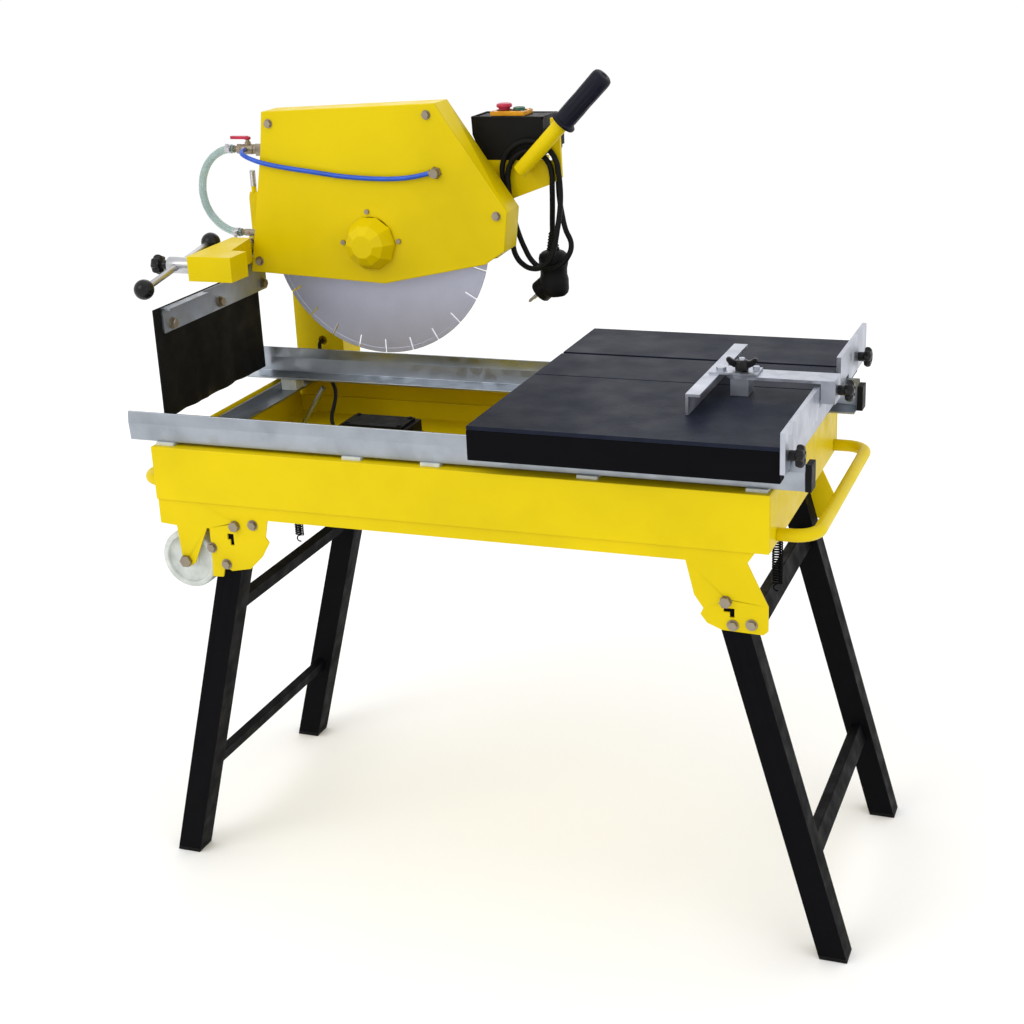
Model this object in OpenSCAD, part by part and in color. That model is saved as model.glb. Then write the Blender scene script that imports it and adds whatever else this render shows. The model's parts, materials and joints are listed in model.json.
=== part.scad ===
// Masonry saw on folding legs: water tray, angle rails, rolling cart, tilting cutting head, splash curtain.
// Units are millimetres. X runs along the rails, Y from the operator to the motor side, Z is up.
// The floor is z = 0, and the middle of the footprint is x = 0, y = 0.

// which node to draw, or all of them

/* [Frame] */
// length of the water tray
frame_l = 870; // [860:1:880]
// width of the water tray
frame_w = 445; // [440:1:450]
// height of the tray's top edge above the floor
frame_top = 648; // [640:1:656]
// height of the tray's side panels
panel_h = 77; // [72:1:82]
// thickness of the folded sheet
sheet_t = 3; // [2:0.5:3]

/* [Legs] */
// outside width of the square leg tube
leg_w = 36; // [32:1:36]
// wall of the leg tube
leg_wall = 2; // [1.5:0.5:3]
// transport wheel diameter
wheel_d = 86; // [76:1:88]

/* [Rails and cart] */
// height of the rail web
rail_h = 41; // [38:1:41]
// width of the rail's flange
rail_flange = 40; // [38:1:40]
// length of the cart along the rails
cart_l = 403; // [398:1:404]
// thickness of each rubber mat
mat_t = 5.6; // [4:0.2:5.6]
// roller diameter
roller_d = 34; // [30:1:34]

/* [Cutting head] */
// blade diameter
blade_d = 350; // [300:1:350]
// blade core thickness
blade_t = 2.6; // [2:0.1:3.2]
// depth of the blade guard
guard_d = 50; // [44:1:50]
// motor body diameter
motor_d = 150; // [130:1:156]
// diameter of the handle tube
handle_d = 22; // [20:1:23]
// diameter of the rubber grip
grip_d = 32; // [30:1:34]

/* [Hidden] */
// middle of the footprint, in the frame's own corner coordinates
mid_x = 443.7;
mid_y = 289.7;
gap = 0.3;
top_z = frame_top;
low_z = frame_top - panel_h;
rear_y = frame_w;
carrier_t = 3;
pan_t = 2.5;
leg_y0 = sheet_t + carrier_t + 0.6;
leg_y1 = rear_y - leg_y0 - leg_w;
// leg hinges: x and z of each hinge line, and the feet's x
hinge_l = [120, 540.5];
hinge_r = [815, 502.5];
foot_l = -21;
foot_r = 959;
slant_l = atan2(hinge_l[0] - foot_l, hinge_l[1]);
slant_r = atan2(foot_r - hinge_r[0], hinge_r[1]);
leg_over = 22;
hinge_r0 = 6;
wheel_c = [36.5, 481];
wheel_y = 9;
wheel_w = 26;
axle_r = 5;
// rails
rail_z0 = top_z + 4.6;
rail_z1 = rail_z0 + rail_h;
rail_x0 = -38;
rail_x1 = 911;
rail_yf = 12;
rail_yr = 385;
rail_t = 3;
// cart
cart_x1 = 887;
cart_x0 = cart_x1 - cart_l;
cart_yf = -20;
cart_yr = 504;
slot_y0 = 350.5;
slot_y1 = 358.5;
deck_z1 = 711;
deck_t = 5;
deck_z0 = deck_z1 - deck_t;
table_z = deck_z1 + mat_t;
roller_z = rail_z0 + rail_t + gap + roller_d / 2;
roller_xs = [cart_x0 + 42, cart_x1 - 25];
// fences and guide
fence_x = cart_x1 + 0.4;
fence_t = 6.4;
fence_z = [684, 736.5];
guide_z = 741;
// pivot of the cross fence on the guide
guide_p = [788, 198];
// cutting head
pivot = [-16, 856];
shaft_r = 12;
axis_x = 202;
axis_z = 878;
blade_y = 354;
guard_y0 = blade_y - guard_d / 2;
guard_y1 = blade_y + guard_d / 2;
arm_y = 400;
arm_t = 6;
guard_pts = [
    [-3, 825], [30, 1006], [37, 1063], [313, 1075], [416.6, 923.5], [410, 867], [380, 847.3], [218.5, 814]
];
dome_sides = 10;
// handle tube: its lower end and where the grip starts
tube_a = [421, 378, 974];
tube_b = [487, 378, 1042];
tube_ang = atan2(tube_b[0] - tube_a[0], tube_b[2] - tube_a[2]);
tube_len = norm(tube_b - tube_a);
// switch box: its front and back
sbox_y = [arm_y + 0.5, arm_y + 62];
button_xs = [379, 402];
button_y = sbox_y[0] + 34;
// blade shaft: where the motor's face starts
motor_y = arm_y + arm_t + gap;
// water valve
valve_p = [-4, 362, 1004];
inlet_z = 878;
// mains cord: from the gland in two loops over the handle's boss, down to the plug
cord_d = 8;
cord_route = [
    [457, 440, 990], [457, 439, 970], [458.5, 434, 949], [463, 424, 928], [470, 413, 908],
    [478, 403, 888], [489, 395, 866], [485, 389, 850], [474, 386, 837.8], [458.6, 385, 832.2],
    [442.3, 386, 834.5], [429.7, 388.5, 843.2], [418, 391.5, 861], [409, 393, 882], [402, 394, 905],
    [396, 394.5, 928], [390.5, 394.5, 950], [387, 394.5, 971], [390.4, 394.5, 987.8],
    [400.1, 394.5, 1001.9], [413.9, 394.5, 1010.9], [430, 394.5, 1014], [446.1, 394.5, 1010.9],
    [459.9, 394.5, 1001.9], [469.6, 394.5, 987.8], [473, 394.5, 971], [475, 394, 951], [476, 391, 931],
    [475.5, 386, 911], [473.5, 380, 890], [470, 376, 868], [465.4, 373.5, 851], [453, 373, 838.6],
    [436, 375.5, 834], [419, 380.5, 838.6], [406.6, 384.5, 851], [402, 386, 868], [401.5, 385, 888],
    [401.5, 384.5, 908], [400.5, 384.8, 928], [398.5, 387.5, 948], [397, 391.2, 967],
    [401.4, 393.8, 983.5], [413.5, 394.5, 995.6], [430, 394.5, 1000], [446.5, 394.5, 995.6],
    [458.6, 394.5, 983.5], [463, 394.5, 967], [462.5, 395.5, 950], [461, 399, 933], [458.5, 404.5, 916],
    [456, 409.5, 899], [454.5, 412.5, 881]
];
// blue hose: from the valve round the guard's edge to the port on its face
blue_d = 7;
blue_route = [
    [-9, 350, 1004], [-7, 339.5, 1003], [-1, 330, 1001], [8, 324.5, 998], [19, 322, 994.5], [34, 322, 990],
    [54, 322.5, 986], [80, 323, 982], [108, 323.5, 978.5], [135, 323.5, 975], [160, 323.5, 972],
    [188, 323.5, 970], [214, 323.5, 969], [240, 323.5, 969], [264, 323.5, 970.5], [286, 323.5, 974],
    [303, 323.5, 978]
];
// clear hose: from the inlet elbow up to the valve
clear_d = 12;
clear_route = [
    [-32, 362, 878], [-46, 362, 879], [-62, 362, 885], [-76, 362, 896], [-87, 362, 911], [-93, 362, 930],
    [-93, 362, 950], [-87, 362, 970], [-76, 362, 986], [-62, 362, 997], [-46, 362, 1003], [-32, 362, 1004]
];
// pump cable: from the pump under the rear rail to the post
pump_route = [
    [158, 272, 600], [147, 274, 602], [138, 282, 608], [131, 296, 616], [126, 314, 624], [120, 332, 630],
    [112, 350, 634], [102, 368, 636.5], [91, 383, 641], [81, 393, 651], [72, 398, 666], [64, 404, 679],
    [56, 416, 688], [50, 430, 691], [47, 445, 691]
];

// unit vector along the route at point i
function along(r, i) =
    let (d = r[min(i + 1, len(r) - 1)] - r[max(i - 1, 0)])
    d / norm(d);

// a sideways direction for every ring, carried along the route without twist
function sideways(r, i) =
    i == 0
    ? let (v = cross(along(r, 0), [0.2, 0.3, 0.9])) v / norm(v)
    : let (
        t = along(r, i),
        p = sideways(r, i - 1),
        v = p - (p * t) * t
    )
    v / norm(v);

// a round tube swept along the route's points
module tube(r, radius, sides = 8) {
    last = len(r) - 1;
    rings = [
        for (i = [0 : last])
        let (t = along(r, i), u = sideways(r, i), w = cross(t, u))
        for (k = [0 : sides - 1])
        r[i] + radius * (cos(k * 360 / sides) * u + sin(k * 360 / sides) * w)
    ];
    polyhedron(
        points = rings,
        faces = concat(
            [[for (k = [sides - 1 : -1 : 0]) k]],
            [[for (k = [0 : sides - 1]) last * sides + k]],
            [
                for (i = [0 : last - 1], k = [0 : sides - 1])
                let (a = i * sides, b = a + sides, n = (k + 1) % sides)
                [a + k, a + n, b + n]
            ],
            [
                for (i = [0 : last - 1], k = [0 : sides - 1])
                let (a = i * sides, b = a + sides, n = (k + 1) % sides)
                [a + k, b + n, b + k]
            ]
        )
    );
}

module at_mid() {
    translate([-mid_x, -mid_y, 0])
    children();
}

// a block from one corner to the opposite one
module block(a, b) {
    translate(a)
    cube([b[0] - a[0], b[1] - a[1], b[2] - a[2]]);
}

// a plate cut from an outline in X and Z, from y0 to y1
module plate(pts, y0, y1) {
    translate([0, y1, 0])
    rotate([90, 0, 0])
    linear_extrude(height = y1 - y0)
    polygon(pts);
}

// a round bar along Y
module bar_y(x, z, y0, y1, r) {
    translate([x, y0, z])
    rotate([-90, 0, 0])
    cylinder(h = y1 - y0, r = r, $fn = 48);
}

// a round bar along X
module bar_x(y, z, x0, x1, r) {
    translate([x0, y, z])
    rotate([0, 90, 0])
    cylinder(h = x1 - x0, r = r, $fn = 48);
}

// a hexagon head whose axis is along Y
module hex_y(x, z, y0, y1, r) {
    translate([x, y0, z])
    rotate([-90, 0, 0])
    cylinder(h = y1 - y0, r = r, $fn = 6);
}

// a lobed knob along X, from x0, with a narrow neck
module star_x(y, z, x0, len, r) {
    translate([x0, y, z])
    rotate([0, 90, 0])
    union() {
        cylinder(h = len, r = r * 0.45, $fn = 32);
        translate([0, 0, len * 0.45])
        cylinder(h = len * 0.5, r = r * 0.86, $fn = 48);
        for (k = [0 : 7])
        rotate([0, 0, k * 45 + 10])
        translate([r * 0.8, 0, len * 0.48])
        cylinder(h = len * 0.44, r = r * 0.24, $fn = 20);
    }
}

// ---- frame ----

module side_panel_front() {
    union() {
        block([0, 0, low_z], [frame_l, sheet_t, top_z]);
        block([0, sheet_t, top_z - sheet_t], [frame_l, 36, top_z]);
    }
}

module side_panels() {
    color("gold")
    at_mid()
    union() {
        side_panel_front();
        translate([0, rear_y, 0])
        mirror([0, 1, 0])
        side_panel_front();
    }
}

carrier_pts = [
    [0.5, low_z + 30], [frame_l - 0.5, low_z + 30], [frame_l - 0.5, 571], [852, 571], [842, 556], [869, 500],
    [869, 467], [863, 461.5], [810, 463], [791, 470.5], [782, 482], [786, 490.5], [774, 507.5], [763, 553],
    [171, 552], [166, 527.5], [171, 519.5], [158, 497.5], [138, 478], [108.6, 472], [97, 478], [93, 462],
    [76, 461], [78, 496], [78.3, 533], [74, 533], [50, 479], [43, 473.5], [35, 473], [30, 478.5], [26, 533],
    [0.5, 535]
];

fork_pts = [[24, low_z], [24, 533], [30, 478.5], [37, 472], [50, 479], [74, 533], [78, low_z]];

module carrier_front() {
    union() {
        difference() {
            plate(carrier_pts, sheet_t, sheet_t + carrier_t);
            bar_y(hinge_l[0], hinge_l[1], 0, 12, hinge_r0 + 0.2);
            bar_y(hinge_r[0], hinge_r[1], 0, 12, hinge_r0 + 0.2);
            bar_y(wheel_c[0], wheel_c[1], 0, 12, axle_r + 0.2);
            // angular lock slots beside the hinges
            block([106, 0, 519], [116, 12, 528]);
            block([110, 0, 511], [116, 12, 520]);
            block([812, 0, 488], [826, 12, 493.5]);
            block([820, 0, 481], [826, 12, 489]);
        }
        // inner cheek of the wheel
        difference() {
            plate(fork_pts, wheel_y + wheel_w + 1, wheel_y + wheel_w + 4);
            bar_y(wheel_c[0], wheel_c[1], wheel_y + wheel_w, wheel_y + wheel_w + 5, axle_r + 0.2);
        }
    }
}

module leg_carriers() {
    color("gold")
    at_mid()
    union() {
        carrier_front();
        translate([0, rear_y, 0])
        mirror([0, 1, 0])
        carrier_front();
    }
}

module water_tray() {
    in_y = sheet_t + carrier_t;
    drain = [700, 222];
    color("gold")
    at_mid()
    union() {
        block([0, in_y, low_z], [sheet_t, rear_y - in_y, top_z - sheet_t]);
        block([frame_l - sheet_t, in_y, low_z], [frame_l, rear_y - in_y, top_z - sheet_t]);
        difference() {
            block([sheet_t, in_y, low_z], [frame_l - sheet_t, rear_y - in_y, low_z + pan_t]);
            translate([drain[0], drain[1], low_z - 1])
            cylinder(h = pan_t + 2, r = 14, $fn = 48);
        }
    }
}

module cross_bar(x) {
    bar_z = rail_z0 - 22;
    union() {
        block([x, sheet_t + carrier_t, bar_z], [x + 30, rear_y - sheet_t - carrier_t, bar_z + 3]);
        block([x, sheet_t + carrier_t, bar_z], [x + 3, rear_y - sheet_t - carrier_t, top_z - sheet_t]);
    }
}

module cross_bars() {
    stay_a = [52, 342, low_z + pan_t + 3.1];
    stay_b = [96, 342, 644];
    color("lightslategray")
    at_mid()
    union() {
        cross_bar(14);
        cross_bar(826);
        // sloping stay rod with a flat foot
        translate(stay_a)
        rotate([0, atan2(stay_b[0] - stay_a[0], stay_b[2] - stay_a[2]), 0])
        cylinder(h = norm(stay_b - stay_a), r = 4, $fn = 32);
        translate([stay_a[0] - 14, stay_a[1] - 11, low_z + pan_t])
        cube([26, 22, 3]);
    }
}

rail_pts = [
    [0, 0], [rail_flange, 0], [rail_flange, rail_t], [rail_t, rail_t], [rail_t - 2, rail_h * 0.6],
    [rail_t, rail_h], [0, rail_h], [-2.4, rail_h * 0.6]
];

module rail(flip) {
    translate([rail_x0, 0, 0])
    rotate([90, 0, 90])
    linear_extrude(height = rail_x1 - rail_x0)
    polygon([for (p = rail_pts) [flip * p[0], p[1] + rail_z0]]);
}

module rails() {
    color("lightsteelblue")
    at_mid()
    union() {
        translate([0, rail_yf, 0])
        rail(1);
        translate([0, rail_yr, 0])
        rail(-1);
    }
}

module rail_pads() {
    color("whitesmoke")
    at_mid()
    union() {
        for (x = [4, 290, 404, 620, 838])
        block([x, 8, top_z], [x + 28, 34, rail_z0]);
        for (x = [17.5, 829.5])
        block([x, rail_yr - 34, rail_z0 - 19], [x + 26, rail_yr - 8, rail_z0]);
    }
}

module rail_caps() {
    color("black")
    at_mid()
    union() {
        block([rail_x1 + 0.1, rail_yf - 3, rail_z0], [rail_x1 + 8, rail_yf + 22, rail_z1 - 6]);
        block([rail_x1 + 0.1, rail_yr - 22, rail_z0], [rail_x1 + 8, rail_yr + 3, rail_z1 - 6]);
    }
}

bolt_spots = [[80, 505], [101, 482], [148, 544], [824, 471], [848, 474]];

module frame_bolt_set() {
    union() {
        for (s = bolt_spots)
        hex_y(s[0], s[1], sheet_t - 5, sheet_t - gap, 6);
        hinge_bolt(hinge_l);
        hinge_bolt(hinge_r);
        // wheel axle
        hex_y(wheel_c[0], wheel_c[1], sheet_t - 6, sheet_t - gap, 9);
        bar_y(wheel_c[0], wheel_c[1], sheet_t - gap - 0.5, wheel_y + wheel_w + 9, axle_r);
    }
}

module frame_bolts() {
    color("burlywood")
    at_mid()
    union() {
        frame_bolt_set();
        translate([0, rear_y, 0])
        mirror([0, 1, 0])
        frame_bolt_set();
    }
}

module hinge_bolt(p) {
    union() {
        hex_y(p[0], p[1], sheet_t - 7, sheet_t - gap, 7.5);
        bar_y(p[0], p[1], sheet_t - gap - 0.5, leg_y0 + leg_w + 9, hinge_r0);
        hex_y(p[0], p[1], leg_y0 + leg_w + 1, leg_y0 + leg_w + 8, 9.5);
    }
}

// a flat carrying handle from x: two stubs, two round corners and a cross tube
module carry_handle(x) {
    tube_r = 8.5;
    bend_r = 30;
    reach = 48;
    run = reach - bend_r;
    y0 = 46;
    y1 = rear_y - 22;
    translate([x, 0, 582])
    union() {
        bar_x(y0, 0, 0, run, tube_r);
        bar_x(y1, 0, 0, run, tube_r);
        translate([reach, 0, 0])
        bar_y(0, 0, y0 + bend_r, y1 - bend_r, tube_r);
        translate([run, y0 + bend_r, 0])
        rotate([0, 0, -90])
        rotate_extrude(angle = 90, $fn = 64)
        translate([bend_r, 0])
        circle(r = tube_r, $fn = 32);
        translate([run, y1 - bend_r, 0])
        rotate_extrude(angle = 90, $fn = 64)
        translate([bend_r, 0])
        circle(r = tube_r, $fn = 32);
    }
}

module carry_handles() {
    color("gold")
    at_mid()
    union() {
        mirror([1, 0, 0])
        carry_handle(gap);
        carry_handle(frame_l + gap);
    }
}

// ---- rear post and head pivot ----

lug_pts = [[-40, 850], [-34, 838], [-20, 830], [83, 830], [83, 868], [40, 880], [-20, 884], [-36, 876]];

module rear_post() {
    color("gold")
    at_mid()
    union() {
        difference() {
            block([0, rear_y + 0.2, 560], [83, rear_y + 60, 830]);
            block([3, rear_y + 3.2, 550], [80, rear_y + 57, 827]);
            bar_y(47, 691, rear_y - 5, rear_y + 10, 7);
        }
        // lugs that hold the pivot shaft
        difference() {
            union() {
                plate(lug_pts, rear_y + 2, rear_y + 12);
                plate(lug_pts, rear_y + 44, rear_y + 54);
            }
            bar_y(pivot[0], pivot[1], rear_y - 5, rear_y + 70, shaft_r + 0.05);
        }
    }
}

module pivot_shaft() {
    color("silver")
    at_mid()
    union() {
        bar_y(pivot[0], pivot[1], 222, rear_y + 60, shaft_r);
        bar_y(pivot[0], pivot[1], 327, arm_y - 19, 14);
        hex_y(pivot[0], pivot[1], rear_y + 54.5, rear_y + 66, 18);
    }
}

housing_pts = [[-22, 180], [49, 180], [49, 228], [22, 232], [2, 326], [-30, 326]];

module lock_housing() {
    color("gold")
    at_mid()
    difference() {
        translate([0, 0, 841])
        linear_extrude(height = 36)
        polygon(housing_pts);
        bar_y(pivot[0], pivot[1], 221.8, 340, shaft_r + 0.05);
    }
}

module curtain_strip() {
    color("lightslategray")
    at_mid()
    union() {
        block([-19, 93, 785], [-16, 394, 821]);
        block([-19, 300, 821], [-16, 380, 840.7]);
        block([-16, 93, 818], [-4, 200, 821]);
        for (y = [116, 251, 382])
        bar_x(y, 795, -16.1, -11, 6);
    }
}

module splash_curtain() {
    color("black")
    at_mid()
    block([-22.2, 76, 664], [-19.2, 372, 822]);
}

// ---- pump ----

module pump() {
    pump_z = low_z + pan_t + 0.2;
    color("black")
    at_mid()
    union() {
        block([165, 240, pump_z], [275, 305, 616]);
        block([172, 246, 616], [268, 299, 620]);
        bar_x(272, 600, 275, 290, 9);
        // cable gland
        bar_x(pump_route[0][1], pump_route[0][2], pump_route[0][0], 165.2, 5.5);
    }
}

module pump_cable() {
    color("black")
    at_mid()
    tube(pump_route, 3);
}

// ---- legs ----

module leg_tube(y, h, slant, top_h) {
    translate([h[0], y, h[1]])
    rotate([0, slant, 0])
    difference() {
        translate([-leg_w / 2, 0, -top_h])
        cube([leg_w, leg_w, top_h + leg_over]);
        translate([-leg_w / 2 + leg_wall, leg_wall, -top_h - 5])
        cube([leg_w - 2 * leg_wall, leg_w - 2 * leg_wall, top_h + leg_over + 10]);
        bar_y(0, 0, -5, leg_w + 5, hinge_r0 + 0.05);
    }
}

module leg_pair(h, slant, len) {
    difference() {
        union() {
            leg_tube(leg_y0, h, slant, len);
            leg_tube(leg_y1, h, slant, len);
        }
        block([h[0] - 400, -10, -60], [h[0] + 400, rear_y + 10, 6]);
    }
}

module leg_bar(h, slant, down, w, t) {
    translate([h[0], leg_y0 + leg_w + 0.2, h[1]])
    rotate([0, slant, 0])
    translate([-t / 2, 0, -down - w / 2])
    cube([t, leg_y1 - leg_y0 - leg_w - 0.4, w]);
}

module foot_pad(y, h, slant, len) {
    intersection() {
        translate([h[0], y, h[1]])
        rotate([0, slant, 0])
        translate([-leg_w / 2, 0, -len - 40])
        cube([leg_w, leg_w, 90]);
        block([h[0] - 400, -10, 0], [h[0] + 400, rear_y + 10, 5.8]);
    }
}

module feet(h, slant, len) {
    union() {
        for (y = [leg_y0, leg_y1])
        foot_pad(y, h, slant, len);
    }
}

len_l = hinge_l[1] / cos(slant_l);
len_r = hinge_r[1] / cos(slant_r);

module legs_left() {
    color("black")
    at_mid()
    leg_pair(hinge_l, slant_l, len_l + 20);
}

module legs_right() {
    color("black")
    at_mid()
    leg_pair(hinge_r, -slant_r, len_r + 20);
}

module leg_bars_left() {
    color("black")
    at_mid()
    union() {
        leg_bar(hinge_l, slant_l, 142, 22, 14);
        leg_bar(hinge_l, slant_l, 416, 20, 12);
    }
}

module leg_bars_right() {
    color("black")
    at_mid()
    union() {
        leg_bar(hinge_r, -slant_r, 62, 30, 16);
        leg_bar(hinge_r, -slant_r, 380, 30, 16);
    }
}

module leg_feet_left() {
    color("dimgray")
    at_mid()
    feet(hinge_l, slant_l, len_l);
}

module leg_feet_right() {
    color("dimgray")
    at_mid()
    feet(hinge_r, -slant_r, len_r);
}

module pull_spring(x, y, z0, z1, r) {
    union() {
        translate([x, y, z0])
        cylinder(h = z1 - z0, r = r, $fn = 32);
        translate([x, y, z0 - 12])
        cylinder(h = 12.2, r = 1.5, $fn = 16);
        translate([x, y, z1 - 0.2])
        cylinder(h = low_z - z1, r = 1.5, $fn = 16);
    }
}

module spring_left() {
    color("dimgray")
    at_mid()
    pull_spring(80, 255, 432, 520, 7);
}

module spring_right() {
    color("dimgray")
    at_mid()
    pull_spring(852, 132, 480, 540, 7.5);
}

module wheel(y) {
    translate([wheel_c[0], y, wheel_c[1]])
    rotate([-90, 0, 0])
    rotate_extrude($fn = 96)
    polygon([
        [5.05, 0], [14, 0], [14, 4], [wheel_d / 2 - 9, 5], [wheel_d / 2 - 8, 0], [wheel_d / 2 - 2, 0],
        [wheel_d / 2, 3], [wheel_d / 2, wheel_w - 3], [wheel_d / 2 - 2, wheel_w], [wheel_d / 2 - 8, wheel_w],
        [wheel_d / 2 - 9, wheel_w - 5], [14, wheel_w - 4], [14, wheel_w], [5.05, wheel_w]
    ]);
}

module wheel_front() {
    color("whitesmoke")
    at_mid()
    wheel(wheel_y);
}

module wheel_rear() {
    color("whitesmoke")
    at_mid()
    wheel(rear_y - wheel_y - wheel_w);
}

// ---- clamp handle ----

clamp_y = 198;
clamp_z = 860;
rod_tilt = 9;
rod_half = 97;

module clamp_screw() {
    color("silver")
    at_mid()
    union() {
        difference() {
            bar_x(clamp_y, clamp_z, -62, -24.5, 12);
            translate([-48, clamp_y, clamp_z])
            rotate([rod_tilt, 0, 0])
            bar_y(0, 0, -30, 30, 5.2);
            bar_x(clamp_y, clamp_z, -70, -56, 4.05);
        }
        translate([-48, clamp_y, clamp_z])
        rotate([rod_tilt, 0, 0])
        bar_y(0, 0, -rod_half, rod_half, 5);
    }
}

module clamp_balls() {
    color("black")
    at_mid()
    translate([-48, clamp_y, clamp_z])
    rotate([rod_tilt, 0, 0])
    union() {
        for (s = [-1, 1])
        difference() {
            translate([0, s * rod_half, 0])
            sphere(r = 14.5, $fn = 48);
            bar_y(0, 0, -rod_half - 0.2, rod_half + 0.2, 5.1);
        }
    }
}

module clamp_star() {
    color("black")
    at_mid()
    union() {
        translate([-62.3, 0, 0])
        mirror([1, 0, 0])
        star_x(clamp_y, clamp_z, 0, 28, 14.5);
        bar_x(clamp_y, clamp_z, -64, -57, 4);
    }
}

// ---- cutting head ----

arm_pts = [
    [-36, 925], [-36, 842], [-24, 832], [150, 836], [290, 880], [399, 930.5], [458, 952], [476, 962],
    [474, 1046], [461, 1046], [462, 986], [330, 986], [250, 1030], [60, 1000], [48, 934], [-34, 933]
];

module arm() {
    color("gold")
    at_mid()
    union() {
        difference() {
            union() {
                plate(arm_pts, arm_y, arm_y + arm_t);
                bar_y(pivot[0], pivot[1], arm_y - 17, rear_y + 1, 20);
            }
            bar_y(pivot[0], pivot[1], arm_y - 30, rear_y + 20, shaft_r + 0.05);
            bar_y(axis_x, axis_z, arm_y - 20, arm_y + 30, 16);
        }
        // shelf under the switch box
        block([338, arm_y + arm_t, 980], [436, arm_y + 62, 985.4]);
        // handle tube and the boss that carries it
        translate(tube_a)
        rotate([0, tube_ang, 0])
        cylinder(h = tube_len + 60, r = handle_d / 2, $fn = 48);
        bar_y(tube_a[0] + 7, tube_a[2] + 5, tube_a[1], arm_y, 7);
        // stud on the upper edge above the pivot
        translate([-28, arm_y + arm_t / 2, 932])
        cylinder(h = 34, r = 4, $fn = 32);
    }
}

// outline moved inwards by d
module guard_shape(d) {
    offset(delta = -d)
    polygon(guard_pts);
}

module guard_shell() {
    skin = 2.5;
    color("gold")
    at_mid()
    union() {
        difference() {
            union() {
                plate(guard_pts, guard_y1 - skin, guard_y1);
                for (p = [[60, 980], [280, 980], [300, 900], [60, 880]])
                bar_y(p[0], p[1], guard_y1, arm_y, 9);
            }
            bar_y(axis_x, axis_z, guard_y1 - 5, guard_y1 + 5, 17);
        }
        difference() {
            translate([0, guard_y1 - skin, 0])
            rotate([90, 0, 0])
            linear_extrude(height = guard_d - 2 * skin - 0.2)
            difference() {
                guard_shape(0);
                guard_shape(skin);
            }
            // the underside is open for the blade
            plate([[14, 790], [14, 846], [396, 868], [396, 790]], guard_y0 - 5, guard_y1 - skin);
        }
    }
}

module guard_cover() {
    color("gold")
    at_mid()
    difference() {
        plate(guard_pts, guard_y0, guard_y0 + 2.5);
        bar_y(axis_x, axis_z, guard_y0 - 5, guard_y0 + 5, 34);
    }
}

guard_bolt_spots = [[47.5, 1046], [300.7, 1059], [12.6, 841.6], [400.5, 917.7]];
dome_screw_spots = [[axis_x - 4, 920], [axis_x - 46, 874], [axis_x + 44, 878]];

module guard_bolts() {
    color("burlywood")
    at_mid()
    union() {
        for (s = guard_bolt_spots)
        hex_y(s[0], s[1], guard_y0 - 5, guard_y0 - 0.1, 5.5);
        for (s = dome_screw_spots)
        bar_y(s[0], s[1], guard_y0 - 3, guard_y0 - 0.1, 3.6);
        // elbow fitting where the blue hose ends
        bar_y(311, 978, guard_y0 - 11, guard_y0 - 0.1, 6.5);
        bar_x(323.5, 978, 303, 311, 5);
    }
}

module hub_dome() {
    color("gold")
    at_mid()
    translate([axis_x - 1, guard_y0 - 0.2, axis_z - 4])
    rotate([90, 0, 0])
    rotate_extrude($fn = dome_sides)
    polygon([
        [35, 0], [37, 0], [40, 3], [30, 24], [17, 33], [0, 33], [0, 31], [16, 31], [28.5, 22.5], [36, 3]
    ]);
}

module motor() {
    color("dimgray")
    at_mid()
    union() {
        difference() {
            bar_y(axis_x, axis_z, motor_y, motor_y + 9, motor_d / 2);
            bar_y(axis_x, axis_z, motor_y - 1, motor_y + 8, 13);
        }
        bar_y(axis_x, axis_z, motor_y + 9, motor_y + 150, motor_d / 2 - 6);
        bar_y(axis_x, axis_z, motor_y + 150, motor_y + 198, motor_d / 2 - 1);
        // cooling fins
        for (k = [0 : 15])
        translate([axis_x, motor_y + 14, axis_z])
        rotate([0, k * 22.5 + 11.25, 0])
        translate([motor_d / 2 - 7, 0, -1.5])
        cube([6, 128, 3]);
        // terminal box
        translate([axis_x - 50, motor_y + 34, axis_z + motor_d / 2 - 12])
        cube([100, 80, 48]);
    }
}

module grip() {
    color("black")
    at_mid()
    translate(tube_a)
    rotate([0, tube_ang, 0])
    translate([0, 0, tube_len])
    difference() {
        union() {
            cylinder(h = 5, r = grip_d / 2 + 3.5, $fn = 48);
            cylinder(h = 84, r = grip_d / 2 - 1, $fn = 48);
            translate([0, 0, 83.9])
            cylinder(h = 7, r1 = grip_d / 2 - 1, r2 = grip_d / 2 - 5, $fn = 48);
        }
        translate([0, 0, -1])
        cylinder(h = 61.2, r = handle_d / 2 + 0.1, $fn = 48);
    }
}

module switch_box() {
    g = cord_route[0];
    color("black")
    at_mid()
    union() {
        difference() {
            plate([
                [340, 1046], [341, 1022], [350, 1000], [362, 986],
                [432, 986], [446, 1000], [450, 1030], [450, 1047]
            ], sbox_y[0], sbox_y[1]);
            for (x = button_xs)
            translate([x, button_y, 1030])
            cylinder(h = 30, r = 9.4, $fn = 32);
        }
        // cord outlet: elbow housing, gland nut and tapered strain relief
        block([446, g[1] - 8, g[2] + 14], [g[0] + 8, g[1] + 8, g[2] + 36]);
        translate([g[0], g[1], g[2] + 9.8])
        cylinder(h = 5, r = 7.5, $fn = 6);
        translate(g)
        cylinder(h = 10, r1 = cord_d / 2 + 0.8, r2 = 6.5, $fn = 32);
    }
}

module switch_plate() {
    color("orange")
    at_mid()
    difference() {
        block([364, sbox_y[0] + 14, 1047.2], [416, sbox_y[0] + 54, 1053]);
        for (x = button_xs)
        translate([x, button_y, 1030])
        cylinder(h = 40, r = 9.4, $fn = 32);
    }
}

module stop_button() {
    color("crimson")
    at_mid()
    translate([button_xs[0], button_y, 1042])
    union() {
        cylinder(h = 16, r = 8.8, $fn = 32);
        translate([0, 0, 14.6])
        cylinder(h = 7, r = 11.6, $fn = 48);
    }
}

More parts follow.
